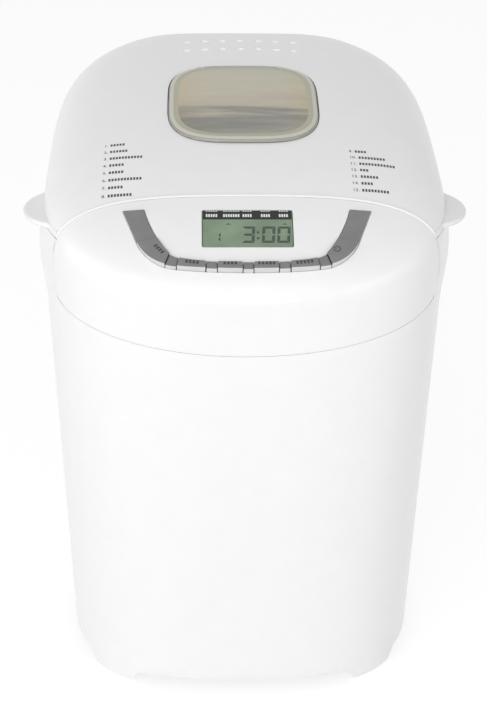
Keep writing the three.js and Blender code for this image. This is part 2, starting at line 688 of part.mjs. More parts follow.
// Base plate with a boss over each pad, cooling slots and a cradle for the capacitor.
function basePlate() {
  const plate = bodySolid(WALL + GAP).intersect(slab(BASE_LIFT, baseTop));
  const bosses = padPlaces.map(({ x, y }) => rod(PAD_RADIUS + 1, PAD_HEIGHT + GAP, baseTop, x, y));
  const slots = [];
  for (let row = -2; row <= 3; row += 1) {
    const y = motorY + row * BASE_SLOT_PITCH;
    slots.push(middleBox(BASE_SLOT_HALF_LENGTH, y, y + BASE_SLOT_WIDTH, BASE_LIFT - 1, baseTop + 1));
  }
  return cut(joined(plate, ...bosses), ...slots);
}
part('base_plate', basePlate(), darkPlastic);

for (const { row, side, x, y } of padPlaces) {
  const section = [[0, 0.8], [PAD_RADIUS * 0.5, 0.8], [PAD_RADIUS * 0.6, 0], [PAD_RADIUS - 1, 0],
    [PAD_RADIUS, 1], [PAD_RADIUS - 0.6, PAD_HEIGHT], [0, PAD_HEIGHT]];
  part(`foot_pad_${row}_${side}`, turned(section, x, y), rubber);
}

// ---------------------------------------------------------------- deck with its ears

function ear(side) {
  const outline = new THREE.Shape();
  const reach = EAR_REACH + EAR_ROOT;
  outline.absellipse(0, 0, reach - EAR_EDGE, EAR_LENGTH / 2 + 2, 0, 2 * Math.PI, false);
  const plate = new THREE.ExtrudeGeometry(outline, {
    depth: DECK_THICKNESS - 2 * EAR_EDGE, bevelThickness: EAR_EDGE, bevelSize: EAR_EDGE, bevelSegments: 1,
    curveSegments: 7,
  });
  plate.translate(side * (BODY_WIDTH / 2 + EAR_REACH - reach), frontY + EAR_SETBACK, deckBottom + EAR_EDGE);
  return toSolid(plate);
}

const hingeY = backY - 0.5 - HINGE_RADIUS;

// A fixed hinge knuckle: a barrel round the pin on a foot that stands on the deck.
function deckKnuckle(middle) {
  const [x0, x1] = [middle - KNUCKLE_WIDTH / 2, middle + KNUCKLE_WIDTH / 2];
  const barrel = rodAlongX(HINGE_RADIUS - GAP, x0, x1, hingeY, hingeZ);
  const foot = box(x0, x1, hingeY - 5, hingeY + 2, deckBottom, hingeZ);
  return cut(joined(barrel, foot), pinBore(x0 - 1, x1 + 1));
}
const pinBore = (x0, x1) => rodAlongX(PIN_RADIUS + PIN_CLEARANCE, x0, x1, hingeY, hingeZ);

function deckRing() {
  const openWidth = ovenHalfWidth + DECK_OPENING_MARGIN;
  const openDepth = OVEN_HALF_DEPTH + DECK_OPENING_MARGIN;
  const opening = roundedPrism(openWidth, openDepth, OVEN_CORNER, deckBottom - 1, seamHeight + 1);
  const forward = middleBox(BODY_WIDTH, 2 * frontY, wallFrontY, 0, topHeight);
  const ears = [ear(-1), ear(1)].map((one) => one.subtract(bodySolid(WALL * 2)));
  const plate = joined(body.intersect(slab(deckBottom, seamHeight)), ...ears)
    .subtract(opening).subtract(panelPrism(0).intersect(forward));
  const beadRing = panelPrism(BEAD).subtract(panelPrism(0));
  const aboveDeck = slab(deckBottom, topHeight);
  const bead = body.intersect(aboveDeck).intersect(beadRing)
    .intersect(middleBox(BODY_WIDTH, 2 * frontY, wallRearY, 0, topHeight));
  const screen = middleBox(BODY_WIDTH, wallFrontY, wallRearY, deckBottom, topHeight)
    .intersect(panelPrism(BEAD)).intersect(body);
  return joined(plate, bead, screen, deckKnuckle(-HINGE_SPREAD), deckKnuckle(HINGE_SPREAD));
}
part('deck_ring', deckRing(), whitePlastic);

// ---------------------------------------------------------------- control panel

// The horseshoe band that holds the keys, in the display's frame, grown by a margin. Its corners and
// handles are shares of its half-span, each with the way it moves when the band grows.
function bandShape(margin) {
  const at = (x, y, outX, outY) => [x * BAND_HALF_SPAN + margin * outX, y * BAND_HALF_SPAN + margin * outY];
  const outer = [
    at(1, -0.0145, 0.94, 1), at(0.8815, -0.3569, 0.94, -0.34), at(0.8439, -0.4624, 0.9, -0.4),
    at(0.7659, -0.5491, 0.7, -0.7), at(0.659, -0.5896, 0.35, -0.94), at(0.5636, -0.6243, 0.2, -1),
    at(0.2168, -0.6358, 0, -1), at(0, -0.6358, 0, -1),
  ];
  const inner = [
    at(0, -0.5636, 0, 1), at(0.289, -0.5636, 0, 1), at(0.5564, -0.5491, -0.2, 1),
    at(0.6185, -0.4812, -0.8, 0.6),
    at(0.7153, -0.3468, -0.9, 0.4), at(0.7948, -0.159, -0.95, 0.2), at(0.8295, 0.0029, -0.95, 1),
  ];
  const shape = new THREE.Shape();
  shape.moveTo(...outer[0]);
  shape.lineTo(...outer[1]);
  shape.bezierCurveTo(...outer[2], ...outer[3], ...outer[4]);
  shape.bezierCurveTo(...outer[5], ...outer[6], ...outer[7]);
  const flip = ([x, y]) => [-x, y];
  shape.bezierCurveTo(...flip(outer[6]), ...flip(outer[5]), ...flip(outer[4]));
  shape.bezierCurveTo(...flip(outer[3]), ...flip(outer[2]), ...flip(outer[1]));
  shape.lineTo(...flip(outer[0]));
  shape.lineTo(...flip(inner[6]));
  shape.bezierCurveTo(...flip(inner[5]), ...flip(inner[4]), ...flip(inner[3]));
  shape.bezierCurveTo(...flip(inner[2]), ...flip(inner[1]), ...inner[0]);
  shape.bezierCurveTo(...inner[1], ...inner[2], ...inner[3]);
  shape.bezierCurveTo(...inner[4], ...inner[5], ...inner[6]);
  return shape;
}
const bandPrism = (margin, z0, z1) => onFrame(prism(bandShape(margin), z0, z1, 3), displayFrame);

// Lines that part the band, each from its inner to its outer edge, on the right-hand side, as shares
// of its half-span.
const PARTINGS = {
  middle: [[0.039, -0.5636], [0.039, -0.6358]],
  loafEnd: [[0.2471, -0.5636], [0.2471, -0.6358]],
  timeStart: [[0.3295, -0.5578], [0.3295, -0.6329]],
  timeEnd: [[0.552, -0.5246], [0.5723, -0.6214]],
  menuStart: [[0.6185, -0.4827], [0.659, -0.6098]],
  menuEnd: [[0.7153, -0.3107], [0.8801, -0.3569]],
};

// The piece of the band between two partings, drawn in by a gap at each.
function bandCell(first, second, gap, side) {
  const sides = [[first, 1], [second, -1]].map(([name, sign]) => {
    const [inner, outer] = PARTINGS[name].map(([x, y]) =>
      new THREE.Vector2(side * x, y).multiplyScalar(BAND_HALF_SPAN));
    const along = outer.clone().sub(inner).normalize();
    const across = new THREE.Vector2(-along.y, along.x).multiplyScalar(side * sign * gap);
    const stretch = along.multiplyScalar(8);
    const start = inner.clone().sub(stretch.clone().multiplyScalar(0.25));
    return [start.add(across), outer.clone().add(stretch).add(across)];
  });
  return new THREE.Shape([sides[0][0], sides[0][1], sides[1][1], sides[1][0]]);
}

const KEYS = [
  { name: 'menu', cell: ['menuStart', 'menuEnd'], side: -1, stem: [0.7442, -0.4552] },
  { name: 'time', cell: ['timeStart', 'timeEnd'], side: -1, stem: [0.448, -0.5867] },
  { name: 'loaf', cell: ['middle', 'loafEnd'], side: -1, stem: [0.1431, -0.5983] },
  { name: 'color', cell: ['middle', 'loafEnd'], side: 1, stem: [0.1431, -0.5983] },
  { name: 'cycle', cell: ['timeStart', 'timeEnd'], side: 1, stem: [0.448, -0.5867] },
  { name: 'on_off', cell: ['menuStart', 'menuEnd'], side: 1, stem: [0.7442, -0.4552] },
];
const keyCell = (key, gap, z0, z1) =>
  onFrame(prism(bandCell(...key.cell, gap, key.side), z0, z1), displayFrame);
const stemRod = (key, radius, z0, z1) =>
  onFrame(rodGeometry(radius, z0, z1, 10).translate(key.side * key.stem[0] * BAND_HALF_SPAN,
    key.stem[1] * BAND_HALF_SPAN, 0), displayFrame);

function displayPrism(margin, z0, z1) {
  const half = DISPLAY_WIDTH / 2 + margin;
  const geometry = new THREE.BoxGeometry(2 * half, displayHeight + 2 * margin, z1 - z0);
  return onFrame(geometry.translate(0, -displayHeight / 2, (z0 + z1) / 2), displayFrame);
}

function controlFascia() {
  const through = 2 * CARRIER_DEPTH;
  const holes = [bandPrism(GAP, -through, through), displayPrism(GAP, -through, through)];
  return cut(shell.intersect(panelPrism(-GAP)), ...holes);
}
part('control_fascia', controlFascia(), whitePlastic);
part('display_lens', displayPrism(0, -DISPLAY_SINK - LENS_THICKNESS, -DISPLAY_SINK), displayGlass);

const moduleTop = -DISPLAY_SINK - LENS_THICKNESS - 2 * GAP;
part('display_module', displayPrism(MODULE_RIM, moduleTop - MODULE_THICKNESS, moduleTop), darkPlastic);

// Band with its end panels and spacers standing on one carrier plate, pockets between them.
function keyBezel() {
  const raised = cut(bandPrism(0, -CARRIER_DEPTH - 0.5, BAND_PROUD),
    ...KEYS.map((key) => keyCell(key, 0, -CARRIER_DEPTH, 5)));
  const carrier = bandPrism(CARRIER_FLANGE, -CARRIER_DEPTH - CARRIER_THICKNESS - 1, -CARRIER_DEPTH - 1);
  const plate = bandPrism(0, -CARRIER_DEPTH - 1 - GAP, -CARRIER_DEPTH);
  return cut(joined(raised, plate, carrier),
    ...KEYS.map((key) => stemRod(key, KEY_STEM_RADIUS + GAP, -BOARD_DEPTH, 5)));
}
part('key_bezel', keyBezel(), greyPlastic);

for (const key of KEYS) {
  const cap = bandPrism(0, -KEY_DEPTH, BAND_PROUD + 0.2).intersect(keyCell(key, KEY_GAP, -KEY_DEPTH - 1, 5));
  const stemEnd = -BOARD_DEPTH + SWITCH_HEIGHT + KEY_TRAVEL + GAP;
  part(`key_${key.name}`, joined(cap, stemRod(key, KEY_STEM_RADIUS, stemEnd, -KEY_DEPTH + 0.5)), greyPlastic);
}

function controlBoard() {
  const board = new THREE.BoxGeometry(2 * (BAND_HALF_SPAN - BOARD_INSET), BOARD_HEIGHT, BOARD_THICKNESS);
  board.translate(0, BOARD_RISE - BOARD_HEIGHT / 2, -BOARD_DEPTH - BOARD_THICKNESS / 2);
  const switches = KEYS.map((key) =>
    stemRod(key, SWITCH_RADIUS, -BOARD_DEPTH - 1, -BOARD_DEPTH + SWITCH_HEIGHT));
  return joined(onFrame(board, displayFrame), ...switches);
}
part('control_board', controlBoard(), circuitBoard);

// ---------------------------------------------------------------- lid

const lidInside = bodySolid(LID_WALL + GAP);
const hingeSides = [-1, 1];
const hingeSpan = (side, from, to) => {
  const [a, b] = [side * HINGE_SPREAD + from, side * HINGE_SPREAD + to];
  return [Math.min(a, b), Math.max(a, b)];
};
const halfKnuckle = KNUCKLE_WIDTH / 2;
const hingeReach = halfKnuckle + GAP + LID_KNUCKLE_WIDTH;

// Everything below and behind the hinge line except what rolls inside the hinge radius.
function hingeSweep() {
  const corner = middleBox(BODY_WIDTH, hingeY, backY + 1, 0, hingeZ);
  return corner.subtract(rodAlongX(HINGE_RADIUS, -BODY_WIDTH, BODY_WIDTH, hingeY, hingeZ));
}

function lidKnuckles() {
  const spans = [[-hingeReach, -halfKnuckle - GAP], [halfKnuckle + GAP, hingeReach]];
  const barrels = hingeSides.flatMap((side) => spans.map((span) =>
    rodAlongX(HINGE_RADIUS - GAP, ...hingeSpan(side, ...span), hingeY, hingeZ)));
  return joined(...barrels);
}

function hingeNotches() {
  const notches = hingeSides.flatMap((side) => {
    const [x0, x1] = hingeSpan(side, -halfKnuckle - GAP, halfKnuckle + GAP);
    const well = box(x0, x1, hingeY - HINGE_RADIUS - 1, backY + 1, 0, hingeZ);
    return [well, rodAlongX(HINGE_RADIUS + 1.2, x0, x1, hingeY, hingeZ)];
  });
  const bores = hingeSides.map((side) => pinBore(...hingeSpan(side, -hingeReach - 1, hingeReach + 1)));
  return [...notches, ...bores];
}

function ventSlots() {
  const slots = [];
  for (const setback of VENT_ROW_SETBACKS) {
    for (let column = 0; column < VENT_COLUMNS; column += 1) {
      const x = (column - (VENT_COLUMNS - 1) / 2) * VENT_PITCH;
      const slot = rodGeometry(1, seamHeight, topHeight + 1, 6).scale(VENT_HALF_LENGTH, VENT_HALF_WIDTH, 1);
      slots.push(toSolid(slot.translate(x, backY - setback - VENT_BOW * x * x, 0)));
    }
  }
  return slots;
}

// The window's rounded outline, drawn in by an inset, in the window's own frame.
function windowPrism(inset, z0, z1, bevel = 0) {
  const inward = inset + bevel;
  const shape = roundedShape(WINDOW_HALF_WIDTH - inward, -windowMiddle - inward, WINDOW_CORNER - inward);
  const geometry = new THREE.ExtrudeGeometry(shape, {
    depth: z1 - z0 - 2 * bevel, bevelEnabled: bevel > 0, bevelThickness: bevel, bevelSize: bevel,
    bevelSegments: 2, curveSegments: ARC_STEPS,
  });
  return onFrame(geometry.translate(0, windowMiddle, z0 + bevel), windowFrame);
}

function lidShell() {
  const skin = body.subtract(lidHollow).intersect(slab(gasketBottom, topHeight + 1));
  const formed = joined(skin.subtract(panelPrism(BEAD + GAP)).subtract(hingeSweep()), lidKnuckles());
  return cut(formed, windowPrism(0, -CUTTER_REACH, CUTTER_REACH), ...ventSlots(), ...hingeNotches());
}
part('lid_shell', lidShell(), whitePlastic);

const paneFlangeTop = -LID_WALL - 3 * GAP;

function windowPane() {
  const dome = windowPrism(GAP, paneFlangeTop - 2 * PANE_BEVEL, PANE_PROUD, PANE_BEVEL)
    .intersect(windowPrism(-PANE_FLANGE, paneFlangeTop - PANE_FLANGE_THICKNESS, CUTTER_REACH));
  const flange = windowPrism(-PANE_FLANGE, paneFlangeTop - PANE_FLANGE_THICKNESS, paneFlangeTop);
  return joined(dome, flange).subtract(windowPrism(GAP + PANE_WALL, -CUTTER_REACH, PANE_PROUD - PANE_WALL));
}
part('window_pane', windowPane(), clearGlass);

const windowMidY = (WINDOW_FRONT + WINDOW_REAR) / 2 + frontY;
const windowHalfDepth = (WINDOW_REAR - WINDOW_FRONT) / 2;

// A deep collar that carries the view down from the window to the liner.
function windowCollar() {
  const bottom = innerPaneBottom + INNER_PANE_THICKNESS + GAP;
  const ring = (inset, z0, z1) => roundedPrism(WINDOW_HALF_WIDTH - inset, windowHalfDepth - inset,
    WINDOW_CORNER - inset, z0, z1, windowMidY);
  const tube = ring(PANE_WALL, bottom, topHeight).subtract(ring(PANE_WALL + COLLAR_WALL, 0, topHeight + 1));
  const flangeBottom = paneFlangeTop - PANE_FLANGE_THICKNESS;
  return tube.intersect(windowPrism(-COLLAR_SPREAD, -COLLAR_REACH, flangeBottom - GAP));
}
part('window_collar', windowCollar(), whitePlastic);

const innerReach = PANE_FLANGE;
part('inner_pane', roundedPrism(WINDOW_HALF_WIDTH + innerReach, windowHalfDepth + innerReach, WINDOW_CORNER,
  innerPaneBottom, innerPaneBottom + INNER_PANE_THICKNESS, windowMidY), clearGlass);

const sealReach = DECK_OPENING_MARGIN + GAP + GASKET_WIDTH;
const dishMargin = 4;
const dishTaper = 6;

// A ring that follows the oven's mouth between two margins outside the oven's inner walls.
function mouthRing(inner, outer, z0, z1) {
  return ovenPrism(outer, z0, z1).subtract(ovenPrism(inner, z0 - 1, z1 + 1));
}
const gasketTop = gasketBottom + GASKET_THICKNESS;
part('lid_gasket', mouthRing(sealReach - GASKET_WIDTH, sealReach, gasketBottom, gasketTop), rubber);

// Pressed sheet dish that closes the oven, with a window hole in its roof.
function lidLiner() {
  const dish = (inset, z0, z1) => {
    const [low, high] = [dishMargin + inset, dishMargin + dishTaper + inset];
    return loft([
      roundedRing(ovenHalfWidth - low, OVEN_HALF_DEPTH - low, OVEN_CORNER, z0),
      roundedRing(ovenHalfWidth - high, OVEN_HALF_DEPTH - high, OVEN_CORNER, z1),
    ]);
  };
  const flangeTop = linerFlangeBottom + LINER_SHEET;
  const flange = mouthRing(-dishMargin - LINER_SHEET, sealReach, linerFlangeBottom, flangeTop);
  const hole = roundedPrism(WINDOW_HALF_WIDTH, windowHalfDepth, WINDOW_CORNER, 0, topHeight, windowMidY);
  const skin = dish(0, linerFlangeBottom, linerTop)
    .subtract(dish(LINER_SHEET, linerFlangeBottom - 1, linerTop - LINER_SHEET));
  return joined(flange, skin).subtract(hole);
}
part('lid_liner', lidLiner(), steelSheet);

// Moulded frame between the liner and the lid shell, with a front apron and screw posts.
function lidBase() {
  const front = wallRearY + GAP;
  const top = lidBaseBottom + LID_BASE_THICKNESS;
  const plate = middleBox(BODY_WIDTH, front, backY, lidBaseBottom, top);
  const apron = middleBox(BODY_WIDTH, front, front + APRON_WALL, lidBaseBottom, topHeight);
  const postX = ovenHalfWidth + LID_POST_SIDE;
  const posts = [ovenFrontY + LID_POST_FRONT, ovenY + OVEN_HALF_DEPTH + LID_POST_REAR].flatMap((y) =>
    [-postX, postX].map((x) => rod(LID_POST_RADIUS, lidBaseBottom, topHeight, x, y)));
  const opening = roundedPrism(ovenHalfWidth - dishMargin + GAP, OVEN_HALF_DEPTH - dishMargin + GAP,
    OVEN_CORNER, 0, topHeight);
  const wells = hingeSides.map((side) => box(...hingeSpan(side, -hingeReach - 1, hingeReach + 1),
    hingeY - HINGE_RADIUS - 1, backY, 0, topHeight));
  return cut(joined(plate, apron, ...posts).intersect(lidInside), opening, ...wells);
}
part('lid_base', lidBase(), whitePlastic);

for (const side of hingeSides) {
  const [x0, x1] = hingeSpan(side, -hingeReach + 1, hingeReach - 1);
  const pin = rodAlongX(PIN_RADIUS, x0, x1, hingeY, hingeZ);
  part(`hinge_pin_${side < 0 ? 'left' : 'right'}`, pin, brightSteel);
}

// ---------------------------------------------------------------- oven

const tailMiddle = ovenHalfWidth - HEATER_TAIL_INSET;
const tailPlaces = [-1, 1].map((side) => tailMiddle + side * HEATER_TAIL_SPREAD);
const heaterZ = OVEN_FLOOR + HEATER_HEIGHT;
const sensorZ = OVEN_FLOOR + SENSOR_HEIGHT;
const sensorX = -tailMiddle;

function ovenChamber() {
  const can = joined(ovenPrism(SHEET, OVEN_FLOOR, ovenTop), ovenPrism(OVEN_FLANGE, ovenTop - SHEET, ovenTop));
  const through = (radius, x, z) => rodAlongY(radius + GAP, ovenFrontY - 3 * SHEET, ovenFrontY + SHEET, x, z);
  return cut(can, ovenPrism(0, OVEN_FLOOR + SHEET, ovenTop + 1), rod(OVEN_HOLE, 0, ovenTop / 2, 0, ovenY),
    ...tailPlaces.map((x) => through(HEATER_TUBE, x, heaterZ)), through(SENSOR_RADIUS, sensorX, sensorZ));
}
part('oven_chamber', ovenChamber(), steelSheet);

// Sheathed element: once round the chamber, with both cold ends out through the front wall.
function heaterTube() {
  const [x, y0, y1] = [ovenHalfWidth - HEATER_STANDOFF, ovenFrontY + HEATER_STANDOFF,
    ovenY + OVEN_HALF_DEPTH - HEATER_STANDOFF];
  const out = ovenFrontY - HEATER_TAIL;
  const corners = [[tailPlaces[0], out], [tailPlaces[0], y0], [-x, y0], [-x, y1], [x, y1], [x, y0],
    [tailPlaces[1], y0], [tailPlaces[1], out]].map(([cornerX, cornerY]) => [cornerX, cornerY, heaterZ]);
  return bent(roundedPath(corners, HEATER_BEND), HEATER_TUBE, HEATER_STEPS);
}
part('heater_tube', heaterTube(), heaterSteel);

for (const side of [-1, 1]) {
  const wall = side * (ovenHalfWidth - GAP);
  const tip = side * (ovenHalfWidth - HEATER_STANDOFF - HEATER_TUBE - CLIP_WALL);
  const [z0, z1] = [heaterZ - HEATER_TUBE - CLIP_WALL, heaterZ + HEATER_TUBE + CLIP_WALL];
  const [y0, y1] = [ovenY - CLIP_LENGTH / 2, ovenY + CLIP_LENGTH / 2];
  const block = box(Math.min(wall, tip), Math.max(wall, tip), y0, y1, z0, z1);
  const bore = rodAlongY(HEATER_TUBE + GAP, ovenY - CLIP_LENGTH, ovenY + CLIP_LENGTH,
    side * (ovenHalfWidth - HEATER_STANDOFF), heaterZ, 16);
  part(`heater_clip_${side < 0 ? 'left' : 'right'}`, block.subtract(bore), steelSheet);
}

tailPlaces.forEach((x, at) => {
  const y1 = ovenFrontY - SHEET - GAP;
  const bush = rodAlongY(HEATER_TUBE + BUSH_WALL, y1 - BUSH_LENGTH, y1, x, heaterZ)
    .subtract(rodAlongY(HEATER_TUBE + GAP, y1 - BUSH_LENGTH - 1, y1 + 1, x, heaterZ));
  part(`heater_bush_${at + 1}`, bush, whitePlastic);
});

function temperatureSensor() {
  const probe = rodAlongY(SENSOR_RADIUS, ovenFrontY - SENSOR_OUTSIDE, ovenFrontY + SENSOR_INSIDE,
    sensorX, sensorZ);
  const wall = ovenFrontY - SHEET - GAP;
  const collar = rodAlongY(SENSOR_RADIUS + SENSOR_COLLAR, wall - SENSOR_COLLAR, wall, sensorX, sensorZ);
  return joined(probe, collar);
}
part('temperature_sensor', temperatureSensor(), brightSteel);

// ---------------------------------------------------------------- pan and its seat

const lugGap = 2 * GAP;
const seatRadius = SKIRT_RADIUS + LUG_REACH + lugGap;
const seatBottom = OVEN_FLOOR + SHEET + GAP;
const skirtBottom = seatBottom + SEAT_FLANGE_THICKNESS;
const lugTop = skirtBottom + LUG_HEIGHT;
const couplingBottom = skirtBottom;

// Sector of a ring about the oven's axis, centred on an angle.
function sector(inner, outer, middle, width, z0, z1) {
  const shape = new THREE.Shape();
  shape.absarc(0, 0, outer, middle - width / 2, middle + width / 2, false);
  shape.absarc(0, 0, inner, middle + width / 2, middle - width / 2, true);
  return toSolid(prism(shape, z0, z1, 2).translate(0, ovenY, 0));
}

const lugAngles = Array.from({ length: LUG_COUNT }, (_, at) => (at + 0.5) * 2 * Math.PI / LUG_COUNT);

function panSeat() {
  const [edge, wall] = [seatRadius + SEAT_FLANGE, seatRadius + SEAT_WALL];
  const [foot, top] = [seatBottom + SEAT_FLANGE_THICKNESS, seatBottom + SEAT_HEIGHT];
  const ring = turned([[seatRadius, seatBottom], [edge, seatBottom], [edge, foot], [wall, foot], [wall, top],
    [seatRadius, top]], 0, ovenY, LARGE_ROUND);
  const hooks = lugAngles.map((angle) => sector(SKIRT_RADIUS + lugGap, seatRadius + 1, angle, LUG_ANGLE,
    lugTop + lugGap, seatBottom + SEAT_HEIGHT));
  return joined(ring, ...hooks);
}
part('pan_seat', panSeat(), castAluminium);

const panHalf = (z) => {
  const taper = PAN_TAPER * (panTop - z) / PAN_HEIGHT;
  return [panHalfWidth - taper, panHalfDepth - taper];
};
const panRing = (inset, z) => {
  const [halfWidth, halfDepth] = panHalf(z);
  return roundedRing(halfWidth - inset, halfDepth - inset, PAN_CORNER - inset, z);
};
const bailZ = panTop - BAIL_DROP;
const bailHalf = panHalfWidth + PAN_RIM + BAIL_RADIUS + 0.7;
const bailRest = Math.asin((BAIL_DROP + BAIL_RADIUS + GAP) / BAIL_REACH);

function breadPan() {
  const outside = loft([panRing(0, panBottom), panRing(0, panTop)]);
  const inside = loft([panRing(PAN_WALL, panBottom + PAN_WALL), panRing(PAN_WALL, panTop + 1)]);
  const rim = loft([panRing(-PAN_RIM, panTop - PAN_RIM_THICKNESS), panRing(-PAN_RIM, panTop)]);
  const boss = rod(BUSH_RADIUS, panBottom, panBottom + PAN_BOSS_HEIGHT, 0, ovenY);
  const skirt = sleeve(SKIRT_RADIUS - SKIRT_WALL, SKIRT_RADIUS, skirtBottom, panBottom + 1, 0, ovenY,
    LARGE_ROUND);
  const lugs = lugAngles.map((angle) => sector(SKIRT_RADIUS - 1, SKIRT_RADIUS + LUG_REACH, angle, LUG_ANGLE,
    skirtBottom, lugTop));
  const [wallX] = panHalf(bailZ);
  const across = (radius, from, to) => [rodAlongX(radius, -to, -from, ovenY, bailZ),
    rodAlongX(radius, from, to, ovenY, bailZ)];
  const ears = across(BAIL_LUG_RADIUS, wallX - 1, wallX + BAIL_LUG_PROUD);
  const sockets = across(BAIL_RADIUS + GAP, wallX + 0.8, wallX + 3 * BAIL_LUG_PROUD);
  const vessel = joined(outside.subtract(inside), rim.subtract(inside), boss, skirt, ...lugs, ...ears);
  return cut(vessel, rod(SHAFT_RADIUS + RUNNING_CLEARANCE, 0, panTop, 0, ovenY), ...sockets);
}
part('bread_pan', breadPan(), coating);

function panBail() {
  const [wallX] = panHalf(bailZ);
  const [y, z] = [ovenY + BAIL_REACH * Math.cos(bailRest), bailZ + BAIL_REACH * Math.sin(bailRest)];
  const start = wallX + 1.1;
  const corners = [[start, ovenY, bailZ], [bailHalf, ovenY, bailZ], [bailHalf, y, z], [-bailHalf, y, z],
    [-bailHalf, ovenY, bailZ], [-start, ovenY, bailZ]];
  return bent(roundedPath(corners, BAIL_CORNER), BAIL_RADIUS, 48);
}
part('pan_bail', panBail(), brightSteel);

// ---------------------------------------------------------------- kneading drive

const dogTop = couplingBottom + DOG_DISC;
const upperDogBottom = dogTop + DOG_HEIGHT + GAP;
const paddleBottom = panBottom + PAN_WALL + 2;
const hubBottom = panBottom + PAN_BOSS_HEIGHT + 2 * GAP;

// Two claws standing on a disc; the upper one hangs its claws down between those of the lower.
function dog(discBottom, clawBottom, claw, middle) {
  const disc = rod(DOG_OUTER, discBottom, discBottom + DOG_DISC, 0, ovenY);
  const claws = [0, Math.PI].map((turn) =>
    sector(DOG_INNER, DOG_OUTER, middle + turn, DOG_ANGLE, clawBottom, clawBottom + claw));
  return joined(disc, ...claws).subtract(rod(SHAFT_RADIUS + GAP, 0, panTop, 0, ovenY));
}
part('drive_dog', dog(couplingBottom, dogTop - 1, DOG_HEIGHT + 1, 0), castAluminium);
part('pan_dog', dog(upperDogBottom, dogTop + 2 * GAP, DOG_HEIGHT + GAP, Math.PI / 2), castAluminium);
part('drive_shaft', rod(SHAFT_RADIUS, pulleyBottom - 2 * SHAFT_RADIUS, dogTop + 1, 0, ovenY), brightSteel);
part('pan_shaft', rod(SHAFT_RADIUS - GAP / 2, upperDogBottom, hubBottom + HUB_HEIGHT - HUB_CAP - 1, 0, ovenY),
  brightSteel);

// Hub with one swept blade, whose top slopes down to the tip.
function kneadingPaddle() {
  const [bore, top] = [SHAFT_RADIUS + GAP, hubBottom + HUB_HEIGHT];
  const capBottom = top - HUB_CAP;
  const hub = turned([[bore, hubBottom], [HUB_RADIUS, hubBottom], [HUB_RADIUS, hubBottom + HUB_HEIGHT * 0.4],
    [HUB_RADIUS * 0.8, top - 1], [0, top], [0, capBottom], [bore, capBottom]], 0, ovenY);
  const half = BLADE_ROOT / 2;
  const outline = new THREE.Shape();
  outline.moveTo(0, half);
  outline.lineTo(HUB_RADIUS, half);
  outline.quadraticCurveTo(PADDLE_REACH * 0.6, half * 0.4, PADDLE_REACH, -BLADE_SWEEP);
  outline.lineTo(PADDLE_REACH - BLADE_TIP, -BLADE_SWEEP - BLADE_TIP);
  outline.quadraticCurveTo(PADDLE_REACH * 0.5, -half, HUB_RADIUS, -half);
  outline.lineTo(0, -half);
  const blade = toSolid(prism(outline, paddleBottom, paddleBottom + PADDLE_HEIGHT).translate(0, ovenY, 0));
  const above = new THREE.BoxGeometry(3 * PADDLE_REACH, 2 * PADDLE_REACH, PADDLE_HEIGHT);
  above.rotateY(BLADE_SLOPE).translate(PADDLE_REACH, ovenY, paddleBottom + PADDLE_HEIGHT);
  const swept = cut(blade, toSolid(above), rod(HUB_RADIUS * 0.8, 0, panTop, 0, ovenY));
  return joined(hub, swept);
}
part('kneading_paddle', kneadingPaddle(), coating);

// Rim of a toothed pulley: tips inside the belt, a groove for each belt tooth.
function toothedRim(teeth, radius, phase) {
  const tip = radius - BELT_PITCH_DEPTH - GAP;
  const root = tip - TOOTH_HEIGHT - GAP;
  const points = [];
  for (let tooth = 0; tooth < teeth; tooth += 1) {
    const middle = phase + tooth / teeth * 2 * Math.PI;
    for (const [shift, at] of [[-TOOTH_HALF_WIDTH * 1.3, tip], [-TOOTH_HALF_WIDTH, root],
      [TOOTH_HALF_WIDTH, root], [TOOTH_HALF_WIDTH * 1.3, tip]]) {
      const angle = middle + shift / radius;
      points.push(new THREE.Vector2(at * Math.cos(angle), at * Math.sin(angle)));
    }
  }
  return new THREE.Shape(points);
}

function toothedPulley(teeth, radius, phase, y) {
  const [low, high] = [pulleyBottom + FLANGE_THICKNESS, pulleyTop - FLANGE_THICKNESS];
  const rim = toSolid(prism(toothedRim(teeth, radius, phase), low - 0.5, high + 0.5).translate(0, y, 0));
  const flanges = [[pulleyBottom, low - GAP], [high + GAP, pulleyTop]].map(([z0, z1]) =>
    rod(radius + BELT_BACK + 0.6, z0, z1, 0, y, teeth > ROUND ? LARGE_ROUND : ROUND));
  return joined(rim, ...flanges);
}

const beltLean = Math.asin((wheelRadius - pinionRadius) / shaftSpacing);
const beltStraight = shaftSpacing * Math.cos(beltLean);
const wheelWrap = Math.PI + 2 * beltLean;
const pinionWrap = Math.PI - 2 * beltLean;

// A place on the belt's pitch line at an arc length, as a point and its outward normal.
function beltPlace(length) {
  const wheelArc = wheelWrap * wheelRadius;
  const pinionArc = pinionWrap * pinionRadius;
  const around = ((length % (beltTeeth * BELT_PITCH)) + beltTeeth * BELT_PITCH) % (beltTeeth * BELT_PITCH);
  const start = -beltLean;
  if (around <= wheelArc) return onPulley(ovenY, wheelRadius, start + around / wheelRadius);
  if (around <= wheelArc + beltStraight) {
    return between(start + wheelWrap, (around - wheelArc) / beltStraight, false);
  }
  const onPinion = around - wheelArc - beltStraight;
  if (onPinion <= pinionArc) {
    return onPulley(motorY, pinionRadius, start + wheelWrap + onPinion / pinionRadius);
  }
  return between(start, (onPinion - pinionArc) / beltStraight, true);
}

function onPulley(y, radius, angle) {
  const normal = new THREE.Vector2(Math.cos(angle), Math.sin(angle));
  return { point: normal.clone().multiplyScalar(radius).add(new THREE.Vector2(0, y)), normal };
}

function between(angle, share, homeward) {
  const wheel = onPulley(ovenY, wheelRadius, angle);
  const pinion = onPulley(motorY, pinionRadius, angle);
  const point = wheel.point.clone().lerp(pinion.point, homeward ? 1 - share : share);
  return { point, normal: wheel.normal };
}

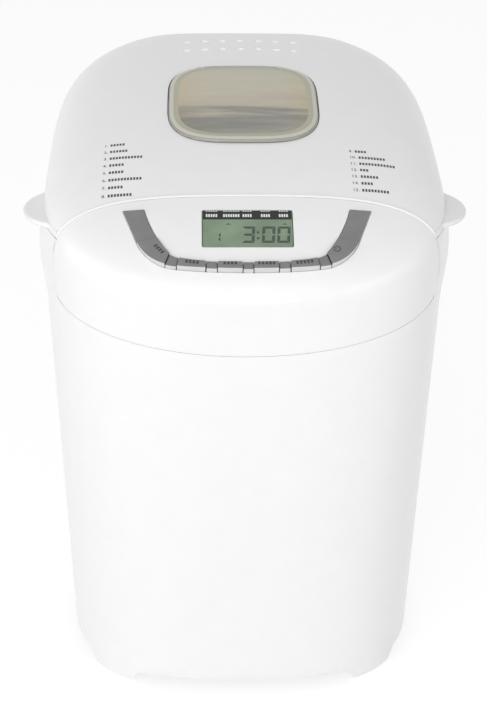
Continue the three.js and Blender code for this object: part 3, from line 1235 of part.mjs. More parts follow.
function driveBelt() {
  const inner = [];
  const outer = [];
  const offset = ({ point, normal }, depth) => point.clone().add(normal.clone().multiplyScalar(depth));
  for (let tooth = 0; tooth < beltTeeth; tooth += 1) {
    const middle = tooth * BELT_PITCH;
    const root = -BELT_PITCH_DEPTH;
    const crest = root - TOOTH_HEIGHT + GAP;
    for (const [share, depth] of [[-1, root], [-0.7, crest], [0.7, crest], [1, root]]) {
      inner.push(offset(beltPlace(middle + share * TOOTH_HALF_WIDTH), depth));
    }
    outer.push(offset(beltPlace(middle), BELT_BACK));
  }
  const shape = new THREE.Shape(outer);
  shape.holes.push(new THREE.Path(inner));
  const low = pulleyBottom + FLANGE_THICKNESS + GAP;
  return toSolid(prism(shape, low, low + BELT_WIDTH - 2 * GAP));
}
part('drive_belt', driveBelt(), rubber);

// Large pulley: a rim, a thin web with five windows, and a hub on the drive shaft.
function driveWheel() {
  const full = toothedPulley(WHEEL_TEETH, wheelRadius, -beltLean, ovenY);
  const recess = (z0, z1) => sleeve(WHEEL_HUB, wheelRadius - WHEEL_RIM, z0, z1, 0, ovenY, LARGE_ROUND);
  const [inner, outer] = [WHEEL_HUB + WHEEL_WEB, wheelRadius - WHEEL_RIM - WHEEL_WEB];
  const windows = Array.from({ length: WHEEL_SPOKES }, (_, at) =>
    sector(inner, outer, at / WHEEL_SPOKES * 2 * Math.PI, 3.75 / WHEEL_SPOKES, 0, panBottom));
  return cut(full, recess(pulleyBottom - 1, pulleyBottom + WHEEL_WEB),
    recess(pulleyTop - WHEEL_WEB, pulleyTop + 1), ...windows,
    rod(SHAFT_RADIUS + GAP, 0, panTop, 0, ovenY));
}
part('drive_wheel', driveWheel(), castAluminium);

const pinionPhase = (() => {
  const entry = wheelWrap * wheelRadius + beltStraight;
  return -beltLean + wheelWrap - (entry % BELT_PITCH) / pinionRadius;
})();
part('motor_pinion', toothedPulley(PINION_TEETH, pinionRadius, pinionPhase, motorY)
  .subtract(rod(SHAFT_RADIUS + GAP - 1, 0, panTop, 0, motorY)), castAluminium);

// ---------------------------------------------------------------- motor

const motorBottom = chassisTop + GAP;
const stackBottom = motorBottom + MOTOR_CAP + GAP;
const stackTop = stackBottom + MOTOR_STACK;
const motorTop = stackTop + GAP + MOTOR_CAP;
const windingHeight = MOTOR_CAP - 2 * CAP_WALL;

// A cup between its open and its closed end, with slots round its side.
function motorCap(open, closed) {
  const shoulder = closed + Math.sign(open - closed) * CAP_BEVEL;
  const [bore, inner] = [SHAFT_RADIUS + 1, MOTOR_RADIUS - CAP_WALL];
  const cup = turned([[bore, closed], [MOTOR_RADIUS - CAP_BEVEL, closed], [MOTOR_RADIUS, shoulder],
    [MOTOR_RADIUS, open], [inner, open], [inner, shoulder], [bore, shoulder]], 0, motorY);
  const slots = Array.from({ length: CAP_SLOTS }, (_, at) => {
    const slot = new THREE.BoxGeometry(CAP_SLOT, CAP_SLOT, MOTOR_CAP * 0.4);
    slot.translate(MOTOR_RADIUS, 0, (open + closed) / 2).rotateZ(at / CAP_SLOTS * 2 * Math.PI);
    return toSolid(slot.translate(0, motorY, 0));
  });
  return cut(cup, ...slots);
}
part('motor_cap_lower', motorCap(stackBottom - GAP, motorBottom), castAluminium);
part('motor_cap_upper', motorCap(stackTop + GAP, motorTop), castAluminium);
part('motor_stator', roundedPrism(MOTOR_RADIUS - 2, MOTOR_RADIUS - 2, 8, stackBottom, stackTop, motorY)
  .subtract(rod(SHAFT_RADIUS + 2, 0, panTop, 0, motorY)), steelSheet);
function winding(z0, z1) {
  const middle = (z0 + z1) / 2;
  return turned([[WINDING_INNER, z0], [WINDING_OUTER, z0], [WINDING_OUTER + WINDING_BULGE, middle],
    [WINDING_OUTER, z1], [WINDING_INNER, z1], [WINDING_INNER - WINDING_BULGE, middle]], 0, motorY);
}
part('motor_winding_lower', winding(stackBottom - GAP - windingHeight, stackBottom - GAP), bronze);
part('motor_winding_upper', winding(stackTop + GAP, stackTop + GAP + windingHeight), bronze);

const fanBottom = motorTop + 2;
const fanTop = fanBottom + FAN_HEIGHT;
part('motor_shaft', rod(SHAFT_RADIUS - 1, pulleyBottom - 2, fanTop + 1, 0, motorY), brightSteel);

// Cooling fan on the upper shaft end: a hub with raked blades.
function motorFan() {
  const bore = SHAFT_RADIUS - 1 + GAP;
  const hub = sleeve(bore, FAN_HUB, fanBottom, fanTop, 0, motorY);
  const plate = sleeve(bore, FAN_RADIUS, fanBottom, fanBottom + FAN_SHEET, 0, motorY);
  const bladeMiddle = (fanBottom + fanTop + FAN_SHEET / 2) / 2;
  const blades = Array.from({ length: FAN_BLADES }, (_, at) => {
    const blade = new THREE.BoxGeometry(FAN_RADIUS - FAN_HUB, FAN_SHEET, FAN_HEIGHT - FAN_SHEET / 2);
    blade.rotateZ(FAN_RAKE).translate((FAN_RADIUS + FAN_HUB * 0.75) / 2, 0, bladeMiddle);
    return toSolid(blade.rotateZ(at / FAN_BLADES * 2 * Math.PI).translate(0, motorY, 0));
  });
  return joined(hub, plate, ...blades);
}
part('motor_fan', motorFan(), darkPlastic);

// ---------------------------------------------------------------- chassis and electrics

const chassisFrontY = motorY - MOTOR_RADIUS + CHASSIS_LEG;
const postY = seatRadius + SEAT_WALL + 2 * CHASSIS_LEG;
const chassisRearY = ovenY + postY + LEG_INSET + CHASSIS_MARGIN;
const legX = chassisHalfWidth - LEG_INSET;
const legPlaces = [wallFrontY + POST_INSET, chassisRearY - POST_INSET]
  .flatMap((y) => [[-legX, y], [legX, y]]);
const postX = chassisHalfWidth - POST_INSET;
const postPlaces = [-postY, postY].flatMap((y) => [[-postX, ovenY + y], [postX, ovenY + y]]);

// A flanged plate on legs, with posts that carry the oven, over the pulleys and under the motor.
function chassisPlate() {
  const halfDepth = (chassisRearY - chassisFrontY) / 2;
  const plate = roundedPrism(chassisHalfWidth, halfDepth, CHASSIS_CORNER, chassisBottom, chassisTop,
    chassisFrontY + halfDepth);
  const legs = legPlaces.map(([x, y]) => rod(CHASSIS_LEG, baseTop + GAP, chassisBottom + 1, x, y));
  const posts = postPlaces.map(([x, y]) => rod(CHASSIS_LEG, chassisTop - 1, OVEN_FLOOR - GAP, x, y));
  const outer = chassisHalfWidth - 1;
  const inner = outer - CHASSIS_THICKNESS;
  const [y0, y1] = [chassisFrontY + POST_INSET, chassisRearY - POST_INSET];
  const turndowns = [[-outer, -inner], [inner, outer]].map(([x0, x1]) =>
    box(x0, x1, y0, y1, chassisBottom - TURNDOWN, chassisBottom + 1));
  const holes = [-legX / 2, legX / 2].map((x) => rod(LIGHTENING_HOLE, 0, panTop, x, (motorY + ovenY) / 2));
  return cut(joined(plate, ...legs, ...posts, ...turndowns), rod(SHAFT_RADIUS + 1, 0, panTop, 0, motorY),
    rod(BUSH_RADIUS + 1, 0, panTop, 0, ovenY), ...holes);
}
part('chassis_plate', chassisPlate(), steelSheet);

const bearingBottom = chassisTop + GAP;
const bearingTop = couplingBottom - 2 * GAP;

// A flanged tube that holds the drive shaft's bush.
function bearingHousing() {
  const [inner, outer] = [BUSH_RADIUS + GAP, BUSH_RADIUS + BEARING_WALL];
  return turned([[inner, bearingBottom], [BEARING_FLANGE, bearingBottom],
    [BEARING_FLANGE, bearingBottom + BEARING_WALL / 2], [outer, bearingBottom + BEARING_WALL],
    [outer, bearingTop - 1], [outer - 1, bearingTop], [inner, bearingTop]], 0, ovenY);
}
part('bearing_housing', bearingHousing(), castAluminium);
const shaftBore = SHAFT_RADIUS + RUNNING_CLEARANCE;
part('drive_bush', sleeve(shaftBore, BUSH_RADIUS, bearingBottom, bearingTop, 0, ovenY), bronze);

const capacitorX = -(chassisHalfWidth + CAPACITOR_RADIUS + 5 * GAP);
const capacitorY = motorY + CAPACITOR_RADIUS + 10 * GAP;

function runCapacitor() {
  const [bottom, top] = [baseTop + GAP, baseTop + CAPACITOR_HEIGHT];
  return turned([[0, bottom], [CAPACITOR_RADIUS - 1, bottom], [CAPACITOR_RADIUS, bottom + 2],
    [CAPACITOR_RADIUS, top - 2], [CAPACITOR_RADIUS - 2, top], [CAPACITOR_NECK, top],
    [CAPACITOR_NECK, top + 3], [0, top + 3]], capacitorX, capacitorY);
}
part('run_capacitor', runCapacitor(), darkPlastic);

const bracketY = ovenFrontY - SHEET - GAP;
const boardY = bracketY - POWER_STANDOFF;
const boardFrontY = boardY - BOARD_THICKNESS;
const powerBottom = sensorZ + POWER_LIFT;
const powerTop = powerBottom + POWER_HEIGHT;

// Sheet bracket on the oven's front wall, with four pillars that carry the power board.
function boardBracket() {
  const half = POWER_WIDTH / 2;
  const plate = middleBox(half + 2, bracketY - SHEET, bracketY, powerBottom, powerTop);
  const window = middleBox(half - 3 * PILLAR_INSET, bracketY - 5, bracketY + 1,
    powerBottom + 2.5 * PILLAR_INSET, powerTop - 2.5 * PILLAR_INSET);
  const pillarX = half - PILLAR_INSET;
  const heights = [powerBottom + PILLAR_INSET, powerTop - PILLAR_INSET];
  const pillars = heights.flatMap((z) => [-pillarX, pillarX].map((x) =>
    rodAlongY(PILLAR_RADIUS, boardY + GAP, bracketY - SHEET / 2, x, z)));
  return joined(plate.subtract(window), ...pillars);
}
part('board_bracket', boardBracket(), steelSheet);

// A block on the power board's front, at a place measured from the board's lower middle.
function onBoard({ x, z, width, height, depth }) {
  return box(x - width / 2, x + width / 2, boardFrontY - depth, boardFrontY + BOARD_THICKNESS / 2,
    powerBottom + z - height / 2, powerBottom + z + height / 2);
}

function powerBoard() {
  const board = middleBox(POWER_WIDTH / 2, boardFrontY, boardY, powerBottom, powerTop);
  const cans = CAN_PLACES.map((x) => rodAlongY(CAN_RADIUS, boardFrontY - CAN_LENGTH,
    boardFrontY + BOARD_THICKNESS / 2, x, powerBottom + CAN_LIFT));
  return joined(board, onBoard(TRANSFORMER), onBoard(RELAY), onBoard(TERMINALS), ...cans);
}
part('power_board', powerBoard(), circuitBoard);

// Cord entry: a flanged bush through the back wall, its bore open for a cord.
function cordGland() {
  const fall = (RIM_HEIGHT - GLAND_HEIGHT) * Math.tan(DRAFT) * REAR_DRAFT_SHARE;
  const outside = backY - fall + 1;
  const flange = rodAlongY(GLAND_RADIUS + GLAND_FLANGE, outside - GAP, outside + GLAND_WALL / 2, -GLAND_OFFSET,
    GLAND_HEIGHT);
  const barrel = rodAlongY(GLAND_RADIUS - GAP, outside - GLAND_LENGTH, outside, -GLAND_OFFSET, GLAND_HEIGHT);
  const bore = rodAlongY(GLAND_RADIUS - GLAND_WALL, 0, 2 * backY, -GLAND_OFFSET, GLAND_HEIGHT);
  return joined(flange, barrel).subtract(bore);
}
part('cord_gland', cordGland(), darkPlastic);

export default model;
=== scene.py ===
"""Looks of a bread machine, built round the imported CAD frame.

Sizes are in millimetres, as the CAD has them, until a mesh is made.
"""
import json
import math

import bmesh
import bpy
import numpy as np
from mathutils import Matrix, Vector


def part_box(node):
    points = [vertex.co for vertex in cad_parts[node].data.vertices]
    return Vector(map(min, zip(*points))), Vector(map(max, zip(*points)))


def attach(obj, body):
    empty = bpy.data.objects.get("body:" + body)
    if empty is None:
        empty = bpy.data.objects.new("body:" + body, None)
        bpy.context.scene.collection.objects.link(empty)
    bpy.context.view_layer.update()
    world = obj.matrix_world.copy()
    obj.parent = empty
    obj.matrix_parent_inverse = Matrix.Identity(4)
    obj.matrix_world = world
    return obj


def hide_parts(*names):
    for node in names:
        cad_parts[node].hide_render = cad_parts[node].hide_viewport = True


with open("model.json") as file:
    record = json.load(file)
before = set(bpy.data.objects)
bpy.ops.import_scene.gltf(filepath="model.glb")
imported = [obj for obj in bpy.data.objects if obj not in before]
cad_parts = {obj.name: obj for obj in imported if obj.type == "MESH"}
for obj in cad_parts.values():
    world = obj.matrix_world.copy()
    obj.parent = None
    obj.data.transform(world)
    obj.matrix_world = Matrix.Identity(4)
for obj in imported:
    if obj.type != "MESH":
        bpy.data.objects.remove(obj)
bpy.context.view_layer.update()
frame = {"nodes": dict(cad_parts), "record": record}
NODES = frame["nodes"]
MM = 0.001
TAU = 2 * math.pi

# ------------------------------------------------------------ sizes of the outer form

HALF, FRONT_REACH, REAR_REACH = 118.0, 120.7, 161.9
RIM, TOP = 260.8, 334.8
FRONT_Y, BACK_Y = -141.3, 141.3
WIDEST_Y = FRONT_Y + FRONT_REACH
CREST_Y = BACK_Y - 13.3
DRAFT = math.tan(math.radians(2.58))
FRONT_SHARE, REAR_SHARE = 0.8, 0.5
FRONT_POWER, REAR_POWER = 2.97, 4.4
ARCH_POWER, NOSE_POWER, TAIL_POWER = 4.56, 1.75, 2.6
WALL, GAP, LINE, BEAD = 2.6, 0.3, 0.14, 1.6
SEAM, DECK = 284.4, 281.0
PANEL_TILT = math.radians(26)
PANEL_HALF, PANEL_HEIGHT = 109.8, 45.0
PANEL_UPPER, PANEL_LOWER = 3.1, 2.05
PANEL_Y, PANEL_Z = FRONT_Y + 12.5, RIM + 13.4
PANEL_INWARD = np.array([0.0, math.cos(PANEL_TILT), -math.sin(PANEL_TILT)])
EAR_Y, EAR_TIP, EAR_WIDTH, EAR_LENGTH = FRONT_Y + 88, 128.2, 22.0, 27.0

# ------------------------------------------------------------ sizes of the hinge, the oven and the pan

LID_COUNTS, HOUSING_COUNTS, DECK_COUNTS = (70, 150), (110, 170), (110, 300)
SKIRT_ARCH = 64.0
HINGE_Y, HINGE_Z, HINGE_RADIUS, HINGE_SPREAD = BACK_Y - 5.3, SEAM + GAP + 4.8, 4.8, 48.0
KNUCKLE, LID_KNUCKLE = 6.0, 8.0
SCREEN_Y, SCREEN_WALL = FRONT_Y + 75.3, 2.0
OPENING_HALF, OPENING_DEPTH, OPENING_CORNER = 95.0, 87.0, 20.0
OVEN_Y = FRONT_Y + 166.3
OVEN_HALF, OVEN_DEPTH = 94.0, 86.0
PAN_HALF, PAN_DEPTH, PAN_TAPER = 75.0, 67.0, 11.0
PAN_BOTTOM, PAN_TOP, SKIRT_Z = 81.0, 238.0, 67.3
BAIL_DROP, BAIL_RADIUS, BAIL_REACH = 9.0, 1.8, 62.0
BAIL_PIVOT = PAN_TOP - BAIL_DROP
BAIL_WALL = PAN_HALF - PAN_TAPER * BAIL_DROP / (PAN_TOP - PAN_BOTTOM)
CAP_TOP = 1.2

# ------------------------------------------------------------ view and light

LENS, AIM, DISTANCE = 92.33, Vector((1.41, -5.0, 161.95)), 1166.15
AZIMUTH, ELEVATION, ROLL = math.radians(-1.64), math.radians(26.0), math.radians(0.62)
WORLD_STRENGTH, FLOOR_GLOW, FLOOR_SHADOW = 0.54, 0.84, 0.22
LAMPS = {
    "key": ((-0.9, -1.9, 0.9), 1.5, 13.2), "fill": ((1.4, -1.5, 0.6), 1.4, 6.8),
    "low": ((0, -1.9, 0.15), 1.2, 2.5), "high": ((-0.3, -1.5, 1.7), 1.3, 6.4),
    "left": ((-1.9, -0.3, 0.7), 1.4, 5.6), "high_left": ((-1.6, -0.9, 1.4), 1.3, 3.0),
    "right": ((1.9, -0.3, 0.7), 1.4, 2.2), "top": ((0, 0.2, 1.8), 1.6, 1.0),
}


# ------------------------------------------------------------ camera and stage

def place_camera():
    """A long lens, a little above the object and tilted down."""
    data = bpy.data.cameras.new("camera")
    data.lens, data.sensor_width, data.clip_end = LENS, 36.0, 20.0
    back = Vector((math.sin(AZIMUTH) * math.cos(ELEVATION), -math.cos(AZIMUTH) * math.cos(ELEVATION),
                   math.sin(ELEVATION)))
    right = (-back).cross(Vector((0, 0, 1))).normalized()
    up = right.cross(-back)
    turned_right = math.cos(ROLL) * right + math.sin(ROLL) * up
    turned_up = -math.sin(ROLL) * right + math.cos(ROLL) * up
    matrix = Matrix((turned_right, turned_up, back)).transposed().to_4x4()
    matrix.translation = (AIM + back * DISTANCE) * MM
    camera = bpy.data.objects.new("camera", data)
    camera.matrix_world = matrix
    bpy.context.scene.collection.objects.link(camera)
    bpy.context.scene.camera = camera


def area_lamp(name, place, size, power):
    """A soft square lamp that looks at the object."""
    data = bpy.data.lights.new(name, "AREA")
    data.shape, data.size, data.energy = "SQUARE", size, power
    lamp = bpy.data.objects.new(name, data)
    lamp.location = place
    lamp.rotation_euler = (Vector((0, 0, 0.15)) - Vector(place)).to_track_quat("-Z", "Y").to_euler()
    bpy.context.scene.collection.objects.link(lamp)


def seen_white(nodes, links, lit, white, output):
    """Shows the plain white to the camera, glossy and transmitted rays, and the lit shader to the rest."""
    path = nodes.new("ShaderNodeLightPath")
    seen = path.outputs["Is Camera Ray"]
    for kind in ("Is Glossy Ray", "Is Transmission Ray"):
        seen = computed(nodes, links, "MAXIMUM", seen, path.outputs[kind])
    mix = nodes.new("ShaderNodeMixShader")
    for socket, value in zip(mix.inputs, (seen, lit, white)):
        links.new(value, socket)
    links.new(mix.outputs[0], output)


def computed(nodes, links, operation, *values):
    """The result of a Math node on numbers and other nodes' outputs."""
    made = nodes.new("ShaderNodeMath")
    made.operation = operation
    for socket, value in zip(made.inputs, values):
        if isinstance(value, float):
            socket.default_value = value
        else:
            links.new(value, socket)
    return made.outputs[0]


def set_world():
    world = bpy.data.worlds.new("studio")
    bpy.context.scene.world = world
    world.use_nodes = True
    nodes, links = world.node_tree.nodes, world.node_tree.links
    nodes.clear()
    output = nodes.new("ShaderNodeOutputWorld")
    lit = nodes.new("ShaderNodeBackground")
    lit.inputs["Strength"].default_value = WORLD_STRENGTH
    white = nodes.new("ShaderNodeBackground")
    white.inputs["Color"].default_value = (1, 1, 1, 1)
    seen_white(nodes, links, lit.outputs[0], white.outputs[0], output.inputs["Surface"])


def make_floor():
    """A pale floor that keeps the object's shadow and shows white elsewhere."""
    bpy.ops.mesh.primitive_plane_add(size=12, location=(0, 0, 0))
    floor = bpy.context.object
    floor.name = "floor"
    finish = bpy.data.materials.new("floor")
    finish.use_nodes = True
    nodes, links = finish.node_tree.nodes, finish.node_tree.links
    shader = nodes["Principled BSDF"]
    shader.inputs["Base Color"].default_value = (0.9, 0.9, 0.9, 1)
    shader.inputs["Roughness"].default_value = 0.9
    shade_catch = nodes.new("ShaderNodeBsdfDiffuse")
    shade_catch.inputs["Color"].default_value = (FLOOR_SHADOW, FLOOR_SHADOW, FLOOR_SHADOW, 1)
    glow = nodes.new("ShaderNodeEmission")
    glow.inputs["Strength"].default_value = FLOOR_GLOW
    both = nodes.new("ShaderNodeAddShader")
    links.new(glow.outputs[0], both.inputs[0])
    links.new(shade_catch.outputs[0], both.inputs[1])
    seen_white(nodes, links, shader.outputs[0], both.outputs[0], nodes["Material Output"].inputs["Surface"])
    floor.data.materials.append(finish)


# ------------------------------------------------------------ the outer form

def signed_power(value, power):
    """A power that keeps the sign."""
    return np.sign(value) * np.abs(value) ** power


def drop(share, power):
    """Falls from 1 to 0 as the share runs from 0 to 1, along a superellipse."""
    return np.maximum(0, 1 - np.minimum(1, share) ** power) ** (1 / power)


def plan_radius(angle, z):
    """Distance from the plan's middle to the outline, in a direction, at a height."""
    fall = np.maximum(0, RIM - z) * DRAFT
    rear = np.sin(angle) > 0
    reach = np.where(rear, REAR_REACH - REAR_SHARE * fall, FRONT_REACH - FRONT_SHARE * fall)
    power = np.where(rear, REAR_POWER, FRONT_POWER)
    total = (np.abs(np.cos(angle)) / (HALF - fall)) ** power + (np.abs(np.sin(angle)) / reach) ** power
    return total ** (-1 / power)


def crest(y):
    """The dome's height on its centre line."""
    ahead = y < CREST_Y
    share = np.abs(y - CREST_Y) / np.where(ahead, CREST_Y - FRONT_Y, BACK_Y - CREST_Y)
    return RIM + (TOP - RIM) * np.where(ahead, drop(share, NOSE_POWER), drop(share, TAIL_POWER))


def dome(x, y):
    """The dome's height over the plan."""
    rear = y > WIDEST_Y
    share = np.abs(y - WIDEST_Y) / np.where(rear, REAR_REACH, FRONT_REACH)
    width = HALF * np.where(rear, drop(share, REAR_POWER), drop(share, FRONT_POWER))
    return RIM + (crest(y) - RIM) * drop(np.abs(x) / np.maximum(width, 1e-6), ARCH_POWER)


def dome_height(x, y):
    return float(dome(np.float64(x), np.float64(y)))


def on_form(flat):
    """Points of the outer form from its flattened plan, where 1 is the rim and 2 the floor."""
    flat = np.asarray(flat, float)
    angle = np.arctan2(flat[..., 1], flat[..., 0])
    rim = plan_radius(angle, np.full_like(angle, RIM))
    share = np.hypot(flat[..., 0], flat[..., 1]) / rim
    z_wall = RIM * (2 - np.maximum(share, 1))
    wall = plan_radius(angle, z_wall)
    inner = np.cos((1 - np.minimum(share, 1)) * math.pi / 2) ** (2 / ARCH_POWER) * rim
    radius = np.where(share >= 1, wall, inner)
    x, y = radius * np.cos(angle), WIDEST_Y + radius * np.sin(angle)
    return np.stack([x, y, np.where(share >= 1, z_wall, dome(x, y))], -1)


def flattened(points):
    """The reverse of on_form, for points on the outer form."""
    points = np.asarray(points, float)
    x, y, z = points[..., 0], points[..., 1] - WIDEST_Y, points[..., 2]
    angle = np.arctan2(y, x)
    rim = plan_radius(angle, np.full_like(angle, RIM))
    inner = np.arccos(np.clip(np.hypot(x, y) / rim, 0, 1) ** (ARCH_POWER / 2))
    share = np.where(z < RIM, 2 - z / RIM, 1 - inner / (math.pi / 2)) * rim
    return np.stack([share * np.cos(angle), share * np.sin(angle)], -1)


def inside_form(points):
    x, y, z = points[..., 0], points[..., 1], points[..., 2]
    radius = np.hypot(x, y - WIDEST_Y)
    outline = plan_radius(np.arctan2(y - WIDEST_Y, x), np.minimum(z, RIM))
    return (radius < outline) & ((z < RIM) | (z < dome(x, y)))


def oval_points(turn, margin):
    """Where the control panel's oval, grown by a margin, meets the outer form."""
    turn = np.asarray(turn, float)
    power = 2 / np.where(np.sin(turn) > 0, PANEL_UPPER, PANEL_LOWER)
    across = (PANEL_HALF + margin) * signed_power(np.cos(turn), power)
    upward = (PANEL_HEIGHT + margin) * signed_power(np.sin(turn), power)
    return under_panel(across, upward)


def panel_place(points):
    """How far across and how far up in the panel's plane points lie."""
    ahead, above = points[..., 1] - PANEL_Y, points[..., 2] - PANEL_Z
    return np.stack([points[..., 0], ahead * math.sin(PANEL_TILT) + above * math.cos(PANEL_TILT)])


def under_panel(across, upward):
    """The outer form's points below places in the panel's plane."""
    def at(depth):
        return np.stack([across, PANEL_Y + upward * math.sin(PANEL_TILT) - depth * math.cos(PANEL_TILT),
                         PANEL_Z + upward * math.cos(PANEL_TILT) + depth * math.sin(PANEL_TILT)], -1)

    depths = np.linspace(60, -70, 261)
    hit = np.array([inside_form(at(np.full_like(across, depth))) for depth in depths])
    first = np.argmax(hit, 0)
    low, high = depths[first], depths[np.maximum(first - 1, 0)]
    for _ in range(30):
        middle = (low + high) / 2
        inside = inside_form(at(middle))
        low, high = np.where(inside, middle, low), np.where(inside, high, middle)
    return at(low)


def level_points(angle, z):
    """Points of the outer form at a height on the dome's lower slope, in plan directions."""
    angle = np.asarray(angle, float)
    rim = plan_radius(angle, np.full_like(angle, RIM))
    high, low = np.ones_like(angle), np.full_like(angle, 0.6)
    for _ in range(40):
        middle = (low + high) / 2
        x, y = middle * rim * np.cos(angle), WIDEST_Y + middle * rim * np.sin(angle)
        above = dome(x, y) > z
        low, high = np.where(above, middle, low), np.where(above, high, middle)
    radius = high * rim
    return np.stack([radius * np.cos(angle), WIDEST_Y + radius * np.sin(angle), np.full_like(angle, z)], -1)


def crossing_turn(z, margin):
    """The turn on the oval's upper right at which it passes a height."""
    low, high = 0.0, math.pi / 2
    for _ in range(40):
        middle = (low + high) / 2
        if oval_points(np.array([middle]), margin)[0, 2] < z:
            low = middle
        else:
            high = middle
    return high


def seam_loop(z, margin, upper, front_count, rear_count):
    """A seam all round: the oval's upper or lower arc in front, a level line at the sides and back."""
    turn = crossing_turn(z, margin)
    first = math.pi / 2 if upper else -math.pi / 2
    right = evened(oval_points(np.linspace(first, turn, 400), margin), front_count)
    start = math.atan2(right[-1, 1] - WIDEST_Y, right[-1, 0])
    level = evened(level_points(np.linspace(start, math.pi / 2, 600), z), rear_count)
    return mirrored(np.concatenate([right, level[1:]]))


def on_arc(count, front_count, blend=4):
    """How far each point of a seam loop belongs to the panel's arc: 1 in front, 0 on the level part."""
    step = np.minimum(np.arange(count), count - np.arange(count))
    return np.clip((front_count + blend - step) / (2 * blend), 0, 1)


def parting_inward(loop, front_count):
    """Directions inward along a parting: the panel's axis in front, to the middle at the sides and back."""
    level = np.stack([-loop[:, 0], WIDEST_Y - loop[:, 1], np.zeros(len(loop))], -1)
    level /= np.linalg.norm(level, axis=1, keepdims=True)
    share = on_arc(len(loop), front_count)[:, None]
    blended = share * PANEL_INWARD + (1 - share) * level
    return blended / np.linalg.norm(blended, axis=1, keepdims=True)


def downward(matrix):
    """The direction into the object, square to a frame's plane."""
    return -np.array(matrix.to_3x3() @ Vector((0, 0, 1)))


def mirrored(half):
    """A closed line from its right half, which runs from the front middle to the rear middle."""
    return np.concatenate([half, half[::-1][1:-1] * [-1, 1, 1]])


def evened(points, count):
    """An open line resampled into equal steps, ends kept."""
    length = np.concatenate([[0], np.cumsum(np.linalg.norm(np.diff(points, axis=0), axis=1))])
    at = np.linspace(0, length[-1], count)
    return np.stack([np.interp(at, length, points[:, axis]) for axis in range(3)], -1)


def even_loop(points, count):
    """A closed line resampled into equal steps from its first point."""
    return evened(np.concatenate([points, points[:1]]), count + 1)[:-1]


def slope_frame(low_y, high_y):
    """A frame on the dome's centre line: X across, Y up the slope, Z out, origin at the upper place."""
    low, high = float(crest(np.float64(low_y))), float(crest(np.float64(high_y)))
    rise, run = high - low, high_y - low_y
    place = Matrix.Translation((0, high_y, high)) @ Matrix.Rotation(math.atan2(rise, run), 4, "X")
    return place, math.hypot(run, rise)


DISPLAY_HALF = 25.0
DISPLAY_FRAME, DISPLAY_LENGTH = slope_frame(FRONT_Y + 23.7, FRONT_Y + 48.7)
WINDOW_FRONT, WINDOW_REAR = FRONT_Y + 108.5, FRONT_Y + 206.9
WINDOW_FRAME, WINDOW_LENGTH = slope_frame(WINDOW_FRONT, WINDOW_REAR)
WINDOW_MIDDLE, WINDOW_DEPTH = (WINDOW_FRONT + WINDOW_REAR) / 2, (WINDOW_REAR - WINDOW_FRONT) / 2
WINDOW_HALF, WINDOW_CORNER, WINDOW_POWER = 45.5, 45.0, 3.3


# ------------------------------------------------------------ making meshes

def new_piece(name, points, faces, finish, body, slot=None, smooth=35, closed=False):
    """A piece on a body; one that has a slot stands for the CAD node of its own name."""
    mesh = raw_mesh(points, faces, name)
    if closed:
        facing_out(mesh)
    mesh.materials.append(finish)
    shade(mesh, smooth)
    piece = linked(name, mesh)
    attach(piece, body)
    if slot:
        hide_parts(name)
    return piece


def linked(name, mesh):
    piece = bpy.data.objects.new(name, mesh)
    bpy.context.scene.collection.objects.link(piece)
    return piece


def shade(mesh, smooth):
    mesh.polygons.foreach_set("use_smooth", [True] * len(mesh.polygons))
    mesh.set_sharp_from_angle(angle=math.radians(smooth))


def settle(piece):
    """Applies a piece's modifiers to its mesh."""
    bpy.context.view_layer.update()
    graph = bpy.context.evaluated_depsgraph_get()
    mesh = bpy.data.meshes.new_from_object(piece.evaluated_get(graph), depsgraph=graph)
    piece.modifiers.clear()
    old = piece.data
    piece.data = mesh
    bpy.data.meshes.remove(old)
    shade(mesh, 35)


def round_edges(piece, rounding, segments, limit, below=None):
    """Rounds the sharp edges, or only those of them that lie below a height, and settles the piece."""
    bevel = piece.modifiers.new("rounding", "BEVEL")
    bevel.width, bevel.segments, bevel.use_clamp_overlap = rounding * MM, segments, True
    bevel.limit_method, bevel.angle_limit = "ANGLE", math.radians(limit)
    bevel.harden_normals = False
    if below:
        bevel.limit_method = "WEIGHT"
        mesh = bmesh.new()
        mesh.from_mesh(piece.data)
        weight = mesh.edges.layers.float.new("bevel_weight_edge")
        for edge in mesh.edges:
            sharp = edge.calc_face_angle(0) > math.radians(limit)
            edge[weight] = float(sharp and edge.verts[0].co.z < below * MM)
        mesh.to_mesh(piece.data)
        mesh.free()
    settle(piece)


def carve(piece, points, faces, operation="DIFFERENCE"):
    """Cuts a solid out of a piece, or keeps only what the two share."""
    cutter = tool(points, faces)
    cut = piece.modifiers.new("cut", "BOOLEAN")
    cut.operation, cut.solver, cut.object = operation, "EXACT", cutter
    settle(piece)
    bpy.data.objects.remove(cutter)


def tool(points, faces):
    return linked("tool", facing_out(raw_mesh(points, faces)))


def grid_faces(rows, columns, closed=True):
    faces = []
    for row in range(rows - 1):
        for column in range(columns if closed else columns - 1):
            right = (column + 1) % columns
            faces.append((row * columns + column, row * columns + right,
                          (row + 1) * columns + right, (row + 1) * columns + column))
    return faces


def patch(outer, inner, rows, rims):
    """A wall of the outer form between two closed lines that lie on it, thickened inward."""
    start, end = flattened(outer), flattened(inner)
    sheet = np.array([on_form(start + (end - start) * share) for share in np.linspace(0, 1, rows)])
    sheet[0], sheet[-1] = outer, inner
    return walled(sheet, rims)


